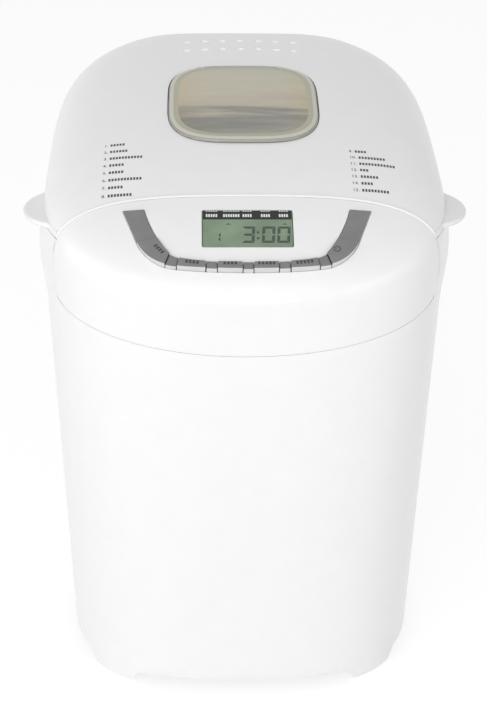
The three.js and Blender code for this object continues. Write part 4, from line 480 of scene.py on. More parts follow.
def walled(sheet, rims):
    """A closed solid between a sheet, given as rows of closed lines, and the same sheet moved inward.

    rims gives a row its own directions inward, so that its cut edge faces along a parting.
    """
    rows, columns = sheet.shape[:2]
    along = np.roll(sheet, -1, 1) - np.roll(sheet, 1, 1)
    across = np.gradient(sheet, axis=0)
    normal = np.cross(along, across)
    normal /= np.maximum(np.linalg.norm(normal, axis=2, keepdims=True), 1e-9)
    for row, inward in rims.items():
        normal[row] = -inward
    points = np.concatenate([sheet.reshape(-1, 3), (sheet - WALL * normal).reshape(-1, 3)])
    skin, total = grid_faces(rows, columns), rows * columns
    faces = skin + [tuple(total + index for index in reversed(face)) for face in skin]
    for row in (0, rows - 1):
        for column in range(columns):
            here, there = row * columns + column, row * columns + (column + 1) % columns
            rim = (there, here, total + here, total + there)
            faces.append(rim if row == 0 else rim[::-1])
    return points, faces


def rounded_rectangle(half_x, half_y, corner, count, centre_y=0.0, power=2.0):
    """A closed outline from its front middle, anticlockwise, in equal steps."""
    points = [(0.0, centre_y - half_y, 0.0)]
    for quarter, (sign_x, sign_y) in enumerate(((1, -1), (1, 1), (-1, 1), (-1, -1))):
        for step in range(25):
            angle = (quarter - 1 + step / 24) * math.pi / 2
            x = sign_x * (half_x - corner) + corner * float(signed_power(math.cos(angle), 2 / power))
            y = sign_y * (half_y - corner)
            y = centre_y + y + corner * float(signed_power(math.sin(angle), 2 / power))
            points.append((x, y, 0.0))
    return even_loop(np.array(points), count)


def in_frame(points, matrix, height=0.0):
    return np.array([matrix @ Vector((p[0], p[1], p[2] + height)) for p in points])


def prism(outline, matrix, low, high):
    """A closed prism over an outline, in a frame."""
    points = np.concatenate([in_frame(outline, matrix, low), in_frame(outline, matrix, high)])
    return points, prism_faces(len(outline))


def prism_faces(count):
    return grid_faces(2, count) + [tuple(range(count))[::-1], tuple(range(count, 2 * count))]


def carry_to_dome(outline, matrix, reach=30.0):
    """Points of a frame's plane moved along its Z onto the dome."""
    flat = in_frame(outline, matrix)
    normal = -downward(matrix)
    low, high = np.full(len(flat), -reach), np.full(len(flat), reach)
    for _ in range(40):
        middle = (low + high) / 2
        inside = inside_form(flat + middle[:, None] * normal)
        low, high = np.where(inside, middle, low), np.where(inside, high, middle)
    return flat + low[:, None] * normal


def add_meshes(piece, meshes):
    """Adds loose meshes to a piece's own, and drops them."""
    whole = bmesh.new()
    whole.from_mesh(piece.data)
    for mesh in meshes:
        whole.from_mesh(mesh)
    whole.to_mesh(piece.data)
    whole.free()
    for mesh in meshes:
        bpy.data.meshes.remove(mesh)
    shade(piece.data, 35)


def facing_out(mesh):
    """Turns the faces of a closed mesh outward."""
    whole = bmesh.new()
    whole.from_mesh(mesh)
    bmesh.ops.recalc_face_normals(whole, faces=whole.faces)
    whole.to_mesh(mesh)
    whole.free()
    return mesh


def raw_mesh(points, faces, name="raw"):
    mesh = bpy.data.meshes.new(name)
    mesh.from_pydata([tuple(float(v) * MM for v in p) for p in points], [], [tuple(f) for f in faces])
    return mesh


def taken(piece):
    """A tool's mesh, with the tool dropped."""
    mesh = piece.data
    bpy.data.objects.remove(piece)
    return mesh


def rounded_rod(radius, start, end, edge=0.6):
    """A rod between two points with rounded rims."""
    start, end = Vector(start), Vector(end)
    length = (end - start).length
    section = [(0, 0), (radius - edge, 0)]
    section += [(radius - edge + edge * math.sin(a), edge - edge * math.cos(a))
                for a in np.linspace(math.pi / 10, math.pi / 2, 5)]
    section += [(radius - edge + edge * math.cos(a), length - edge + edge * math.sin(a))
                for a in np.linspace(0, math.pi / 2, 6)]
    section += [(0, length)]
    points, faces = spun(section, 48)
    turn = (end - start).to_track_quat("Z", "Y").to_matrix().to_4x4()
    return in_frame(points, Matrix.Translation(start) @ turn), faces


def spun(section, sides):
    """A half-section of radius and height turned round Z; ends on the axis become single points."""
    points, faces, rings = [], [], []
    for radius, height in section:
        if radius < 1e-6:
            rings.append([len(points)])
            points.append((0.0, 0.0, height))
        else:
            rings.append(list(range(len(points), len(points) + sides)))
            points += [(radius * math.cos(TAU * k / sides), radius * math.sin(TAU * k / sides), height)
                       for k in range(sides)]
    for low, high in zip(rings, rings[1:]):
        for k in range(sides):
            n = (k + 1) % sides
            ring = [low[k % len(low)], low[n % len(low)], high[n % len(high)], high[k % len(high)]]
            face = [index for at, index in enumerate(ring) if index not in ring[:at]]
            if len(face) > 2:
                faces.append(tuple(face))
    return points, faces


def swept(path, radius, sides):
    """A round bar along a line of points."""
    path = [Vector(p) for p in path]
    points, side = [], None
    for k, place in enumerate(path):
        along = (path[min(k + 1, len(path) - 1)] - path[max(k - 1, 0)]).normalized()
        if side is None:
            side = along.orthogonal().normalized()
        side = (side - along * side.dot(along)).normalized()
        up = along.cross(side)
        points += [tuple(place + radius * (math.cos(TAU * n / sides) * side + math.sin(TAU * n / sides) * up))
                   for n in range(sides)]
    last = (len(path) - 1) * sides
    caps = [tuple(range(sides))[::-1], tuple(range(last, last + sides))]
    return points, grid_faces(len(path), sides) + caps


def rounded_path(corners, radius, steps):
    """A line through corners, each rounded by a curve."""
    corners = [Vector(c) for c in corners]
    path = [corners[0]]
    for before, corner, after in zip(corners, corners[1:], corners[2:]):
        reach = min(radius, (corner - before).length * 0.4, (after - corner).length * 0.4)
        enter = corner + (before - corner).normalized() * reach
        leave = corner + (after - corner).normalized() * reach
        path += [(1 - t) ** 2 * enter + 2 * t * (1 - t) * corner + t * t * leave
                 for t in np.linspace(0, 1, steps)]
    return path + [corners[-1]]


def bezier(points, steps=16):
    """Points of a cubic curve, without its first point."""
    a, b, c, d = [np.array(p, float) for p in points]
    t = np.linspace(0, 1, steps + 1)[1:, None]
    return list((1 - t) ** 3 * a + 3 * t * (1 - t) ** 2 * b + 3 * t * t * (1 - t) * c + t ** 3 * d)


# ------------------------------------------------------------ materials

def material(name, base, roughness, metallic=0.0, variation=0.04, grain=400.0, bump=0.0, stretch=(1, 1, 1),
             coat=0.0, spread=0.05, second=None):
    """A finish whose colour, roughness and relief come from noise over the piece."""
    result = bpy.data.materials.new(name)
    result.use_nodes = True
    nodes, links = result.node_tree.nodes, result.node_tree.links
    shader = nodes["Principled BSDF"]
    shader.inputs["Metallic"].default_value = metallic
    shader.inputs["IOR"].default_value = 1.46
    shader.inputs["Coat Weight"].default_value = coat
    shader.inputs["Coat Roughness"].default_value = 0.08
    fine = noise(nodes, links, stretch, grain, 4)
    dark = second or tuple(c * (1 - variation) for c in base)
    light = base if second else tuple(min(1, c * (1 + variation)) for c in base)
    tint = ramped(nodes, links, noise(nodes, links, stretch, grain / 12, 4), [(0.3, dark), (0.7, light)])
    links.new(tint, shader.inputs["Base Color"])
    limits = {"To Min": max(0.0, roughness - spread), "To Max": min(1.0, roughness + spread)}
    links.new(ranged(nodes, links, fine, limits), shader.inputs["Roughness"])
    if bump:
        relief = nodes.new("ShaderNodeBump")
        relief.inputs["Strength"].default_value = 0.5
        relief.inputs["Distance"].default_value = bump * MM
        links.new(fine, relief.inputs["Height"])
        links.new(relief.outputs["Normal"], shader.inputs["Normal"])
    return result


def noise(nodes, links, stretch, scale, detail):
    """Noise over the object's own coordinates."""
    place = nodes.new("ShaderNodeTexCoord")
    mapping = nodes.new("ShaderNodeMapping")
    mapping.inputs["Scale"].default_value = stretch
    links.new(place.outputs["Object"], mapping.inputs["Vector"])
    made = nodes.new("ShaderNodeTexNoise")
    made.inputs["Scale"].default_value = scale
    made.inputs["Detail"].default_value = detail
    links.new(mapping.outputs["Vector"], made.inputs["Vector"])
    return made.outputs["Fac"]


def ranged(nodes, links, value, limits):
    """The result of a Map Range node."""
    made = nodes.new("ShaderNodeMapRange")
    for socket, limit in limits.items():
        made.inputs[socket].default_value = limit
    links.new(value, made.inputs["Value"])
    return made.outputs["Result"]


def ramped(nodes, links, value, stops):
    """The colour of a Color Ramp node with the given places and colours."""
    made = nodes.new("ShaderNodeValToRGB")
    ends = made.color_ramp.elements
    for end, (at, colour) in zip(ends, (stops[0], stops[-1])):
        end.position, end.color = at, (*colour, 1)
    for at, colour in stops[1:-1]:
        ends.new(at).color = (*colour, 1)
    links.new(value, made.inputs["Fac"])
    return made.outputs["Color"]


def clear(name, tint, cover, roughness):
    """A see-through plastic: a thin tinted gloss over what is behind it."""
    result = material(name, tint, roughness, variation=0.03, grain=60, spread=0.02, coat=0.5)
    result.node_tree.nodes["Principled BSDF"].inputs["Alpha"].default_value = cover
    return result


def glass_with_painted_reflections(name, stops, roughness, cover=1.0):
    """A window with painted reflections: streaks across it, colours that change from its front to its rear,
    and warmer ends.
    """
    result = material(name, stops[0][1], roughness, grain=220, stretch=(0.25, 1.3, 1), coat=0.5)
    nodes, links = result.node_tree.nodes, result.node_tree.links
    place = nodes.new("ShaderNodeTexCoord")
    apart = nodes.new("ShaderNodeSeparateXYZ")
    links.new(place.outputs["Object"], apart.inputs[0])
    reflection_streak = computed(nodes, links, "SUBTRACT", noise(nodes, links, (0.3, 1.7, 1), 55, 6), 0.5)
    window = {"From Min": WINDOW_FRONT * MM, "From Max": WINDOW_REAR * MM}
    along = ranged(nodes, links, apart.outputs["Y"], window)
    colour = ramped(nodes, links, computed(nodes, links, "MULTIPLY_ADD", reflection_streak, 0.75, along), stops)
    near_end = ranged(nodes, links, computed(nodes, links, "ABSOLUTE", apart.outputs["X"]), {
        "From Min": 0.5 * WINDOW_HALF * MM, "From Max": 0.85 * WINDOW_HALF * MM, "To Max": 0.45})
    warmer = nodes.new("ShaderNodeMix")
    warmer.data_type, warmer.blend_type = "RGBA", "MULTIPLY"
    warmer.inputs[7].default_value = (1.0, 0.86, 0.62, 1)
    links.new(near_end, warmer.inputs[0])
    links.new(colour, warmer.inputs[6])
    shader = nodes["Principled BSDF"]
    links.new(warmer.outputs[2], shader.inputs["Base Color"])
    shader.inputs["Alpha"].default_value = cover
    return result


WHITE = material("white_plastic", (0.86, 0.86, 0.86), 0.3, variation=0.008, grain=900, bump=0.01, coat=0.25)
# Brighter white for the vent pockets' floors: a painted highlight where they catch the light.
VENT_HIGHLIGHT = material("vent_pocket_highlight", (0.97, 0.97, 0.97), 0.5, variation=0.008, grain=900)
INNER = material("inner_plastic", (0.74, 0.74, 0.73), 0.42, variation=0.015, grain=900, bump=0.02)
DARK = material("dark_plastic", (0.045, 0.046, 0.05), 0.5, variation=0.12, grain=1200, bump=0.03)
GREY = material("grey_plastic", (0.20, 0.20, 0.20), 0.42, 0.0, 0.05, 1500, 0.008)
KEY = material("key_grey", (0.20, 0.20, 0.20), 0.42, 0.0, 0.05, 1500, 0.008)
# A light finish for the band's outer step: partly silver trim, partly painted highlight where it faces the
# light.
SILVER_HIGHLIGHT = material("silver_edge_highlight", (0.66, 0.66, 0.66), 0.3, 0.0, 0.03, 1500)
LCD = material("display_glass", (0.20, 0.27, 0.185), 0.3, variation=0.16, grain=700)
LCD_DARK = material("display_band", (0.008, 0.011, 0.012), 0.6, variation=0.1, grain=300)
LCD_INK = material("display_digit", (0.045, 0.065, 0.05), 0.4, variation=0.1, grain=300)
INK = material("print_ink", (0.06, 0.06, 0.065), 0.55, variation=0.15, grain=600)
LIGHT_INK = material("print_light", (0.75, 0.78, 0.76), 0.5, variation=0.05, grain=600)
# The window's colours are painted reflections of the collar and the pan behind it, changing from front to
# rear with streaks.
GLASS = glass_with_painted_reflections("window_glass", [
    (0.02, (0.46, 0.43, 0.33)), (0.16, (0.34, 0.33, 0.28)), (0.26, (0.26, 0.255, 0.22)),
    (0.42, (0.60, 0.54, 0.42)), (0.66, (0.68, 0.62, 0.48)), (0.92, (0.60, 0.61, 0.48))], 0.05, 0.74)
GLASS_SIDE = clear("window_side", (0.50, 0.495, 0.45), 0.62, 0.06)
# A dark tint of painted shade for the pane's foot and its rear band, and a light ring of painted highlight.
GLASS_PAINTED_SHADE = clear("window_painted_shade", (0.24, 0.24, 0.23), 0.75, 0.15)
RING_HIGHLIGHT = clear("window_ring_highlight", (0.66, 0.65, 0.55), 0.85, 0.05)
RING_OLIVE = clear("window_inner_ring", (0.50, 0.49, 0.36), 0.8, 0.05)
# Inner pane colours: painted reflections, changing from front to rear with streaks.
PANE_PAINTED_REFLECTION = glass_with_painted_reflections("pane_painted_reflection", [(0.1, (0.22, 0.21, 0.17)), (0.35, (0.17, 0.165, 0.145)),
                                (0.75, (0.21, 0.20, 0.165)), (1.0, (0.46, 0.42, 0.31))], 0.18)
COLLAR = material("collar_plastic", (0.86, 0.82, 0.62), 0.35, grain=150, stretch=(0.25, 0.25, 4),
                  second=(0.62, 0.60, 0.46))
RUBBER = material("rubber", (0.10, 0.10, 0.105), 0.8, variation=0.15, grain=1800, bump=0.06)
SHEET = material("sheet_steel", (0.56, 0.57, 0.58), 0.36, 0.95, 0.06, 700, 0.012, (1, 1, 9))
BRIGHT = material("bright_steel", (0.72, 0.72, 0.73), 0.18, 1.0, 0.04, 900, 0.006, (8, 1, 1))
CAST = material("cast_aluminium", (0.45, 0.46, 0.47), 0.5, 0.9, 0.1, 1300, 0.08)
COATING = material("pan_coating", (0.075, 0.075, 0.08), 0.42, 0.25, 0.25, 2200, 0.05, coat=0.2)
SHEATH = material("heater_sheath", (0.16, 0.145, 0.13), 0.42, 0.8, 0.35, 500, 0.03,
                  second=(0.09, 0.075, 0.085))
CERAMIC = material("ceramic", (0.78, 0.76, 0.70), 0.6, variation=0.06, grain=1400, bump=0.05)
BRONZE = material("bronze", (0.55, 0.38, 0.18), 0.35, 0.95, 0.12, 900, 0.02)
COPPER = material("copper", (0.66, 0.30, 0.15), 0.3, 0.95, 0.1, 2600, 0.12, (1, 1, 22))
BOARD = material("circuit_board", (0.05, 0.22, 0.08), 0.45, variation=0.3, grain=700, bump=0.02, coat=0.3)

FINISHES = {
    "white_plastic": WHITE, "inner_plastic": INNER, "dark_plastic": DARK, "grey_plastic": GREY,
    "key_grey": KEY, "display_glass": LCD, "window_glass": GLASS, "rubber": RUBBER, "sheet_steel": SHEET,
    "bright_steel": BRIGHT, "cast_aluminium": CAST, "pan_coating": COATING, "heater_sheath": SHEATH,
    "ceramic": CERAMIC, "bronze": BRONZE, "copper": COPPER, "circuit_board": BOARD,
}


def finish_nodes():
    """Every CAD node that stays in view takes its slot's finish and smooth flags."""
    slots = {entry["node"]: entry["material_slot"] for entry in frame["record"]["subparts"]}
    for name, node in NODES.items():
        node.data.materials.clear()
        node.data.materials.append(FINISHES.get(slots.get(name), INNER))
        shade(node.data, 30)


# ------------------------------------------------------------ white outer pieces

def profile_along_x(profile, x0, x1):
    """A prism along X over a Y-Z outline."""
    points = [(x, y, z) for x in (x0, x1) for y, z in profile]
    return points, [tuple(reversed(face)) for face in prism_faces(len(profile))]


def arc(centre_y, centre_z, radius, start, end, steps):
    return [(centre_y + radius * math.cos(a), centre_z + radius * math.sin(a))
            for a in np.linspace(start, end, steps)]


def window_outline(inset, count):
    corner = max(2, WINDOW_CORNER - inset)
    outline = rounded_rectangle(WINDOW_HALF - inset, WINDOW_LENGTH / 2 - inset, corner, 720,
                                -WINDOW_LENGTH / 2, WINDOW_POWER)
    return even_loop(outline, count)


def lid_shell():
    """The domed lid with its window hole, the vents, and the moving knuckles of the hinge."""
    outer = seam_loop(SEAM + LINE, BEAD + LINE, True, *LID_COUNTS)
    window = carry_to_dome(window_outline(0, len(outer)), WINDOW_FRAME)
    rims = {0: parting_inward(outer, LID_COUNTS[0]), -1: downward(WINDOW_FRAME)}
    lid = new_piece("lid_shell", *patch(outer, window, 56, rims), WHITE, "lid", "white_plastic")
    behind = [(HINGE_Y, SEAM - 10), (BACK_Y + 6, SEAM - 10), (BACK_Y + 6, HINGE_Z)]
    sweep = arc(HINGE_Y, HINGE_Z, HINGE_RADIUS, 0, -math.pi / 2, 12) + behind
    carve(lid, *profile_along_x(sweep, -HALF, HALF))
    well = [(HINGE_Y - 6, SEAM - 10), *behind[1:], *arc(HINGE_Y, HINGE_Z, 6, 0, math.pi, 12)]
    knuckles = []
    for middle in (-HINGE_SPREAD, HINGE_SPREAD):
        carve(lid, *profile_along_x(well, middle - KNUCKLE - GAP, middle + KNUCKLE + GAP))
        for x in (middle - KNUCKLE - GAP - LID_KNUCKLE, middle + KNUCKLE + GAP):
            knuckles.append(raw_mesh(*rounded_rod(HINGE_RADIUS - GAP, (x, HINGE_Y, HINGE_Z),
                                                  (x + LID_KNUCKLE, HINGE_Y, HINGE_Z))))
    carve(lid, *gathered([vent_cut(x, y) for x, y in vent_places()]))
    round_edges(lid, 0.5, 3, 50)
    lid.data.materials.append(VENT_HIGHLIGHT)
    # Faces inside the vent pockets take the brighter white as a painted highlight.
    places = np.array(list(vent_places()))
    for face in lid.data.polygons:
        x, y, z = face.center / MM
        near = np.hypot(places[:, 0] - x, places[:, 1] - y).min() < 2.9
        if near and z < dome_height(x, y) - 0.3:
            face.material_index = 1
    add_meshes(lid, knuckles)


def vent_places():
    for setback in (28.8, 44.6):
        for column in range(-3, 4):
            x = column * 11.4
            yield x, BACK_Y - setback - 0.0028 * x * x


def vent_cut(x, y, half_x=2.5, half_y=2.0, depth=3.4, sides=28):
    """A shallow oval pocket whose floor leans down towards the front."""
    turns = [TAU * k / sides for k in range(sides)]
    ring = [(x + half_x * math.cos(turn), y + half_y * math.sin(turn)) for turn in turns]
    skin = dome_height(x, y)
    low = [(px, py, skin - depth * (0.5 - (py - y) / (2 * half_y))) for px, py in ring]
    high = [(px, py, skin + 5) for px, py in ring]
    return low + high, prism_faces(sides)


def gathered(solids):
    """Several solids' points and faces as one list each."""
    points, faces = [], []
    for more_points, more_faces in solids:
        faces += [tuple(index + len(points) for index in face) for face in more_faces]
        points += [tuple(p) for p in more_points]
    return points, faces


def outer_housing():
    """The casing, with louvres and the cord gland's hole at the back."""
    seam = seam_loop(DECK - GAP, 0, False, *HOUSING_COUNTS)
    rims = dict.fromkeys(range(-10, 0), parting_inward(seam, HOUSING_COUNTS[0]))
    sheet = bulged(rising_rows(seam, 90))
    housing = new_piece("outer_housing", *walled(sheet, rims), WHITE, "machine", "white_plastic")
    louvres = [slot_prism(side * 25, 70 + row * 8, 17, 1.5) for row in range(8) for side in (-1, 1)]
    carve(housing, *gathered(louvres))
    carve(housing, *rounded_rod(8, (-25, BACK_Y - 20, 38), (-25, BACK_Y + 9, 38)))
    round_edges(housing, 0.5, 3, 50, DECK - 40)


def bulged(points):
    """Soft swellings that carry the ears, just below the deck."""
    x, y, z = points[..., 0], points[..., 1], points[..., 2]
    rise = np.clip(1 - ((z - 261) / 27) ** 2, 0, 1)
    wide = np.clip(1 - ((y - EAR_Y) / 28) ** 2, 0, 1)
    moved = points.copy()
    moved[..., 0] += np.sign(x) * 2.3 * (rise * wide) ** 1.5 * (np.abs(x) > HALF * 0.7)
    return moved


def rising_rows(seam, rows):
    """Rows of the outer form from the skirt up to the seam. The columns are straight for most of the
    height and turn to the seam near it, so that none crosses the panel's rounded ends."""
    front, rear = HOUSING_COUNTS
    turn = math.radians(-30)
    ahead, behind = np.linspace(-math.pi / 2, turn, front), np.linspace(turn, math.pi / 2, rear)
    right = np.concatenate([ahead[:-1], behind])
    bottom = np.concatenate([right, math.pi - right[::-1][1:-1]])
    flat = flattened(seam)
    top = np.unwrap(np.arctan2(flat[:, 1], flat[:, 0]))
    top_share = np.hypot(flat[:, 0], flat[:, 1]) / plan_radius(top, np.full_like(top, RIM))
    level = on_form(toward(bottom, 2 - 5 / RIM))
    ahead = ramp((SKIRT_ARCH + 5 - np.abs(level[:, 0])) / 7)
    aside = ramp((BACK_Y - 40 - np.abs(level[:, 1])) / 7)
    bottom_share = 2 - (1.2 + 7.3 * np.maximum(ahead, aside)) / RIM
    sheet = []
    for rise in np.linspace(0, 1, rows):
        angle = bottom + (top - bottom) * rise ** 10
        sheet.append(on_form(toward(angle, bottom_share + (top_share - bottom_share) * rise)))
    sheet[-1] = seam
    return np.array(sheet)


def toward(angle, share):
    """Flattened points in directions from the plan's middle, at shares of the rim's distance."""
    reach = share * plan_radius(angle, np.full_like(angle, RIM))
    return np.stack([reach * np.cos(angle), reach * np.sin(angle)], -1)


def ramp(share):
    share = np.clip(share, 0, 1)
    return np.sin(share * math.pi / 2) ** 1.4


def slot_prism(x, z, half, radius):
    """A round-ended slot through the housing's back."""
    outline = arc(x + half - radius, z + 1.5, radius, -math.pi / 2, math.pi / 2, 9)
    outline += arc(x - half + radius, z + 1.5, radius, math.pi / 2, 1.5 * math.pi, 9)
    points = [(px, y, pz) for y in (BACK_Y - 20, BACK_Y + 6) for px, pz in outline]
    return points, [tuple(reversed(face)) for face in prism_faces(len(outline))]


def deck_ring():
    """The rim that the lid closes on: bead and roof in front, level deck with ears, hinge knuckles."""
    lower = seam_loop(DECK, 0, True, *DECK_COUNTS)
    upper = seam_loop(SEAM, BEAD, True, *DECK_COUNTS)
    front = on_arc(len(lower), DECK_COUNTS[0])
    outward = np.cross(np.roll(upper, -1, 0) - np.roll(upper, 1, 0), upper - lower)
    outward /= np.linalg.norm(outward, axis=1, keepdims=True)
    rows = []
    for angle in np.linspace(-math.pi / 2, math.pi / 2, 9):
        proud = 0.75 * front * math.cos(angle) - 0.3 * (1 - front) * (1 - math.cos(angle)) ** 2
        line = lower + (upper - lower) * (1 + math.sin(angle)) / 2 + outward * proud[:, None]
        rows.append(eared(line, 1.7 * (1 - math.cos(angle))))
    rows += deck_inside(lower, upper, front[:, None])
    deck = new_piece("deck_ring", *ringed(rows), WHITE, "machine", "white_plastic", closed=True)
    add_meshes(deck, [deck_knuckle(side * HINGE_SPREAD) for side in (-1, 1)])


def eared(line, inset, blend=5.0):
    """Swells a line of the deck's edge out round both ears, with a filleted root."""
    near = np.clip(1 - ((line[:, 1] - EAR_Y) / (EAR_LENGTH - inset)) ** 2, 0, 1)
    ear = EAR_TIP - EAR_WIDTH + (EAR_WIDTH - inset) * np.sqrt(near)
    side = np.abs(line[:, 0])
    joined = np.maximum(side, ear) + np.clip(blend - np.abs(side - ear), 0, None) ** 2 / (4 * blend)
    moved = line.copy()
    moved[:, 0] = np.where((near > 0) & (side > HALF * 0.7), np.sign(line[:, 0]) * joined, line[:, 0])
    return moved


def deck_inside(lower, upper, front):
    """The rows from the deck's upper edge inward, down round the oven's mouth and back out below."""
    def slid(line, y):
        return drawn_in(line + PANEL_INWARD * np.maximum(0, (y - line[:, 1:2]) / PANEL_INWARD[1]))

    def at_least(line, z):
        return np.concatenate([line[:, :2], np.maximum(line[:, 2:], z)], 1)

    def level(line, y, z):
        return drawn_in(np.stack([line[:, 0], np.full(len(line), y), np.full(len(line), z)], -1))

    def mouth(margin, z):
        return oven_mouth(upper, margin, z)

    behind, ahead = SCREEN_Y, SCREEN_Y - SCREEN_WALL
    return [
        front * at_least(slid(upper, behind), SEAM + 0.05) + (1 - front) * mouth(3, SEAM),
        front * level(upper, behind, SEAM) + (1 - front) * mouth(1.5, SEAM),
        mouth(0, SEAM), mouth(0, DECK),
        front * level(lower, ahead, DECK) + (1 - front) * mouth(1.5, DECK),
        front * at_least(slid(lower, ahead), DECK + 0.05) + (1 - front) * mouth(3, DECK),
    ]


def drawn_in(line, first=60, last=78):
    """Keeps the front's columns inside the oven's mouth, clear of the columns of the sides."""
    side = np.abs(line[:, 0])
    nearer = first + (side - first) * (last - first) / (PANEL_HALF - first)
    moved = line.copy()
    moved[:, 0] = np.sign(line[:, 0]) * np.where(side > first, nearer, side)
    return moved


def oven_mouth(line, margin, z):
    """The oven's mouth, grown by a margin, in the directions of a line's points from its middle."""
    toward = np.arctan2(line[:, 1] - OVEN_Y, line[:, 0])
    outline = rounded_rectangle(OPENING_HALF + margin, OPENING_DEPTH + margin, OPENING_CORNER + margin, 720)
    angle = np.arctan2(outline[:, 1], outline[:, 0])
    order = np.argsort(angle)
    radius = np.interp(toward, angle[order], np.hypot(outline[:, 0], outline[:, 1])[order], period=TAU)
    return np.stack([radius * np.cos(toward), OVEN_Y + radius * np.sin(toward), np.full(len(line), z)], -1)


def deck_knuckle(middle):
    """A fixed hinge knuckle on its foot, with a bore for the pin."""
    outside = arc(HINGE_Y, HINGE_Z, HINGE_RADIUS - GAP, -0.3, math.pi, 22)
    outside = [(HINGE_Y + 3.2, DECK + 1)] + outside + [(HINGE_Y - HINGE_RADIUS + GAP, DECK + 1)]
    x0, x1 = middle - KNUCKLE, middle + KNUCKLE
    knuckle = tool(*profile_along_x(outside, x0, x1))
    bore = arc(HINGE_Y, HINGE_Z, 2.2, 0, TAU * 23 / 24, 24)
    carve(knuckle, *profile_along_x(bore, x0 - 2, x1 + 2))
    round_edges(knuckle, 0.4, 2, 40)
    return taken(knuckle)


def control_fascia():
    """The oval panel, open for the display and the key band."""
    outer = panel_place(even_oval(-LINE, 480))
    middle, half_length = -DISPLAY_LENGTH / 2, DISPLAY_LENGTH / 2
    opening = rounded_rectangle(DISPLAY_HALF + GAP, half_length + GAP, 1.2, 2400, middle)
    inner = in_directions_of(outer, panel_place(carry_to_dome(opening, DISPLAY_FRAME)))
    sheet = [under_panel(*(outer + (inner - outer) * share)) for share in np.linspace(0, 1, 64)]
    down = downward(DISPLAY_FRAME)
    solid = walled(np.array(sheet), {0: PANEL_INWARD, -1: down, -2: down})
    fascia = new_piece("control_fascia", *solid, WHITE, "machine", "white_plastic")
    carve(fascia, *prism(band_outline(GAP), DISPLAY_FRAME, -14, 14))
    round_edges(fascia, 0.45, 3, 50)


def in_directions_of(outer, inner):
    """The inner line's points in the directions of the outer line's points from its middle."""
    middle = inner.mean(1, keepdims=True)
    found, wanted = np.arctan2(*(inner - middle)[::-1]), np.arctan2(*(outer - middle)[::-1])
    order = np.argsort(found)
    return np.stack([np.interp(wanted, found[order], axis[order], period=TAU) for axis in inner])


def even_oval(margin, count):
    half = evened(oval_points(np.linspace(-math.pi / 2, math.pi / 2, 900), margin), count // 2 + 1)
    return mirrored(half)


# ------------------------------------------------------------ keys and display

def band_outline(margin):
    """The horseshoe band in the display's frame, as a closed outline, anticlockwise."""
    def at(x, y, out_x, out_y):
        return np.array([x + margin * out_x, y + margin * out_y])

    outer = [at(69.2, -1, 0.94, 1), at(61, -24.7, 0.94, -0.34), at(58.4, -32, 0.9, -0.4),
             at(53, -38, 0.7, -0.7), at(45.6, -40.8, 0.35, -0.94), at(39, -43.2, 0.2, -1),
             at(15, -44, 0, -1), at(0, -44, 0, -1)]
    inner = [at(0, -39, 0, 1), at(20, -39, 0, 1), at(38.5, -38, -0.2, 1), at(42.8, -33.3, -0.8, 0.6),
             at(49.5, -24, -0.9, 0.4), at(55, -11, -0.95, 0.2), at(57.4, 0.2, -0.95, 1)]
    right = [outer[0] + (outer[1] - outer[0]) * share for share in (0, 0.25, 0.5, 0.75, 1)]
    right += bezier(outer[1:5]) + bezier(outer[4:8])
    inside = [inner[0]] + bezier(inner[0:4]) + bezier(inner[3:7])
    left = [p * [-1, 1] for p in right[::-1][1:]]
    inside_left = [p * [-1, 1] for p in inside[::-1]]
    ring = right + left + inside_left + inside[1:]
    return np.array([(*p, 0.0) for p in ring[::-1]])


PARTINGS = {
    "middle": ((2.7, -39), (2.7, -44)), "loafEnd": ((17.1, -39), (17.1, -44)),
    "timeStart": ((22.8, -38.6), (22.8, -43.8)), "timeEnd": ((38.2, -36.3), (39.6, -43)),
    "menuStart": ((42.8, -33.4), (45.6, -42.2)), "menuEnd": ((49.5, -21.5), (60.9, -24.7)),
}
KEYS = {
    "menu": ("menuStart", "menuEnd", -1), "time": ("timeStart", "timeEnd", -1),
    "loaf": ("middle", "loafEnd", -1), "color": ("middle", "loafEnd", 1),
    "cycle": ("timeStart", "timeEnd", 1), "on_off": ("menuStart", "menuEnd", 1),
}


def cell_outline(first, second, side, gap):
    """The part of the band between two partings, drawn in by a gap."""
    edges = []
    for name, sign in ((first, 1), (second, -1)):
        inner, outer = [Vector((side * x, y)) for x, y in PARTINGS[name]]
        along = (outer - inner).normalized()
        across = Vector((-along.y, along.x)) * side * sign * gap
        edges.append((inner - along * 2 + across, outer + along * 8 + across))
    ring = counter_clockwise([edges[0][0], edges[0][1], edges[1][1], edges[1][0]])
    return np.array([(p.x, p.y, 0.0) for p in ring])


def key_caps():
    for name, (first, second, side) in KEYS.items():
        band = prism(band_outline(0), DISPLAY_FRAME, -6, CAP_TOP)
        cap = new_piece(f"key_{name}", *band, KEY, f"key_{name}_body", "key_grey", closed=True)
        carve(cap, *prism(cell_outline(first, second, side, 0.4), DISPLAY_FRAME, -9, 6), "INTERSECT")
        round_edges(cap, 0.45, 3, 40)
        silver_fronts_and_gap_shade(cap, KEY)


def key_marks():
    """Dark strokes on each cap in the place of a word, and a power sign on the last."""
    for name, number in {"menu": 4, "time": 4, "loaf": 4, "color": 5, "cycle": 5}.items():
        middle, along, across = cap_place(name)
        centres = [middle + along * (place - (number - 1) / 2) * 2.0 for place in range(number)]
        cap_mark(name, [upright(centre, along, across, 0.68, -1.15, 1.15) for centre in centres])
    middle, along, across = cap_place("on_off")
    ring = [[middle + along * r * math.sin(t) + across * r * math.cos(t)
             for r, t in ((2.1, t0), (2.1, t1), (1.45, t1), (1.45, t0))]
            for t0, t1 in arc_steps(0.6, TAU - 0.6, 20)]
    cap_mark("on_off", ring + [upright(middle, along, across, 0.32, 0.3, 2.6)])


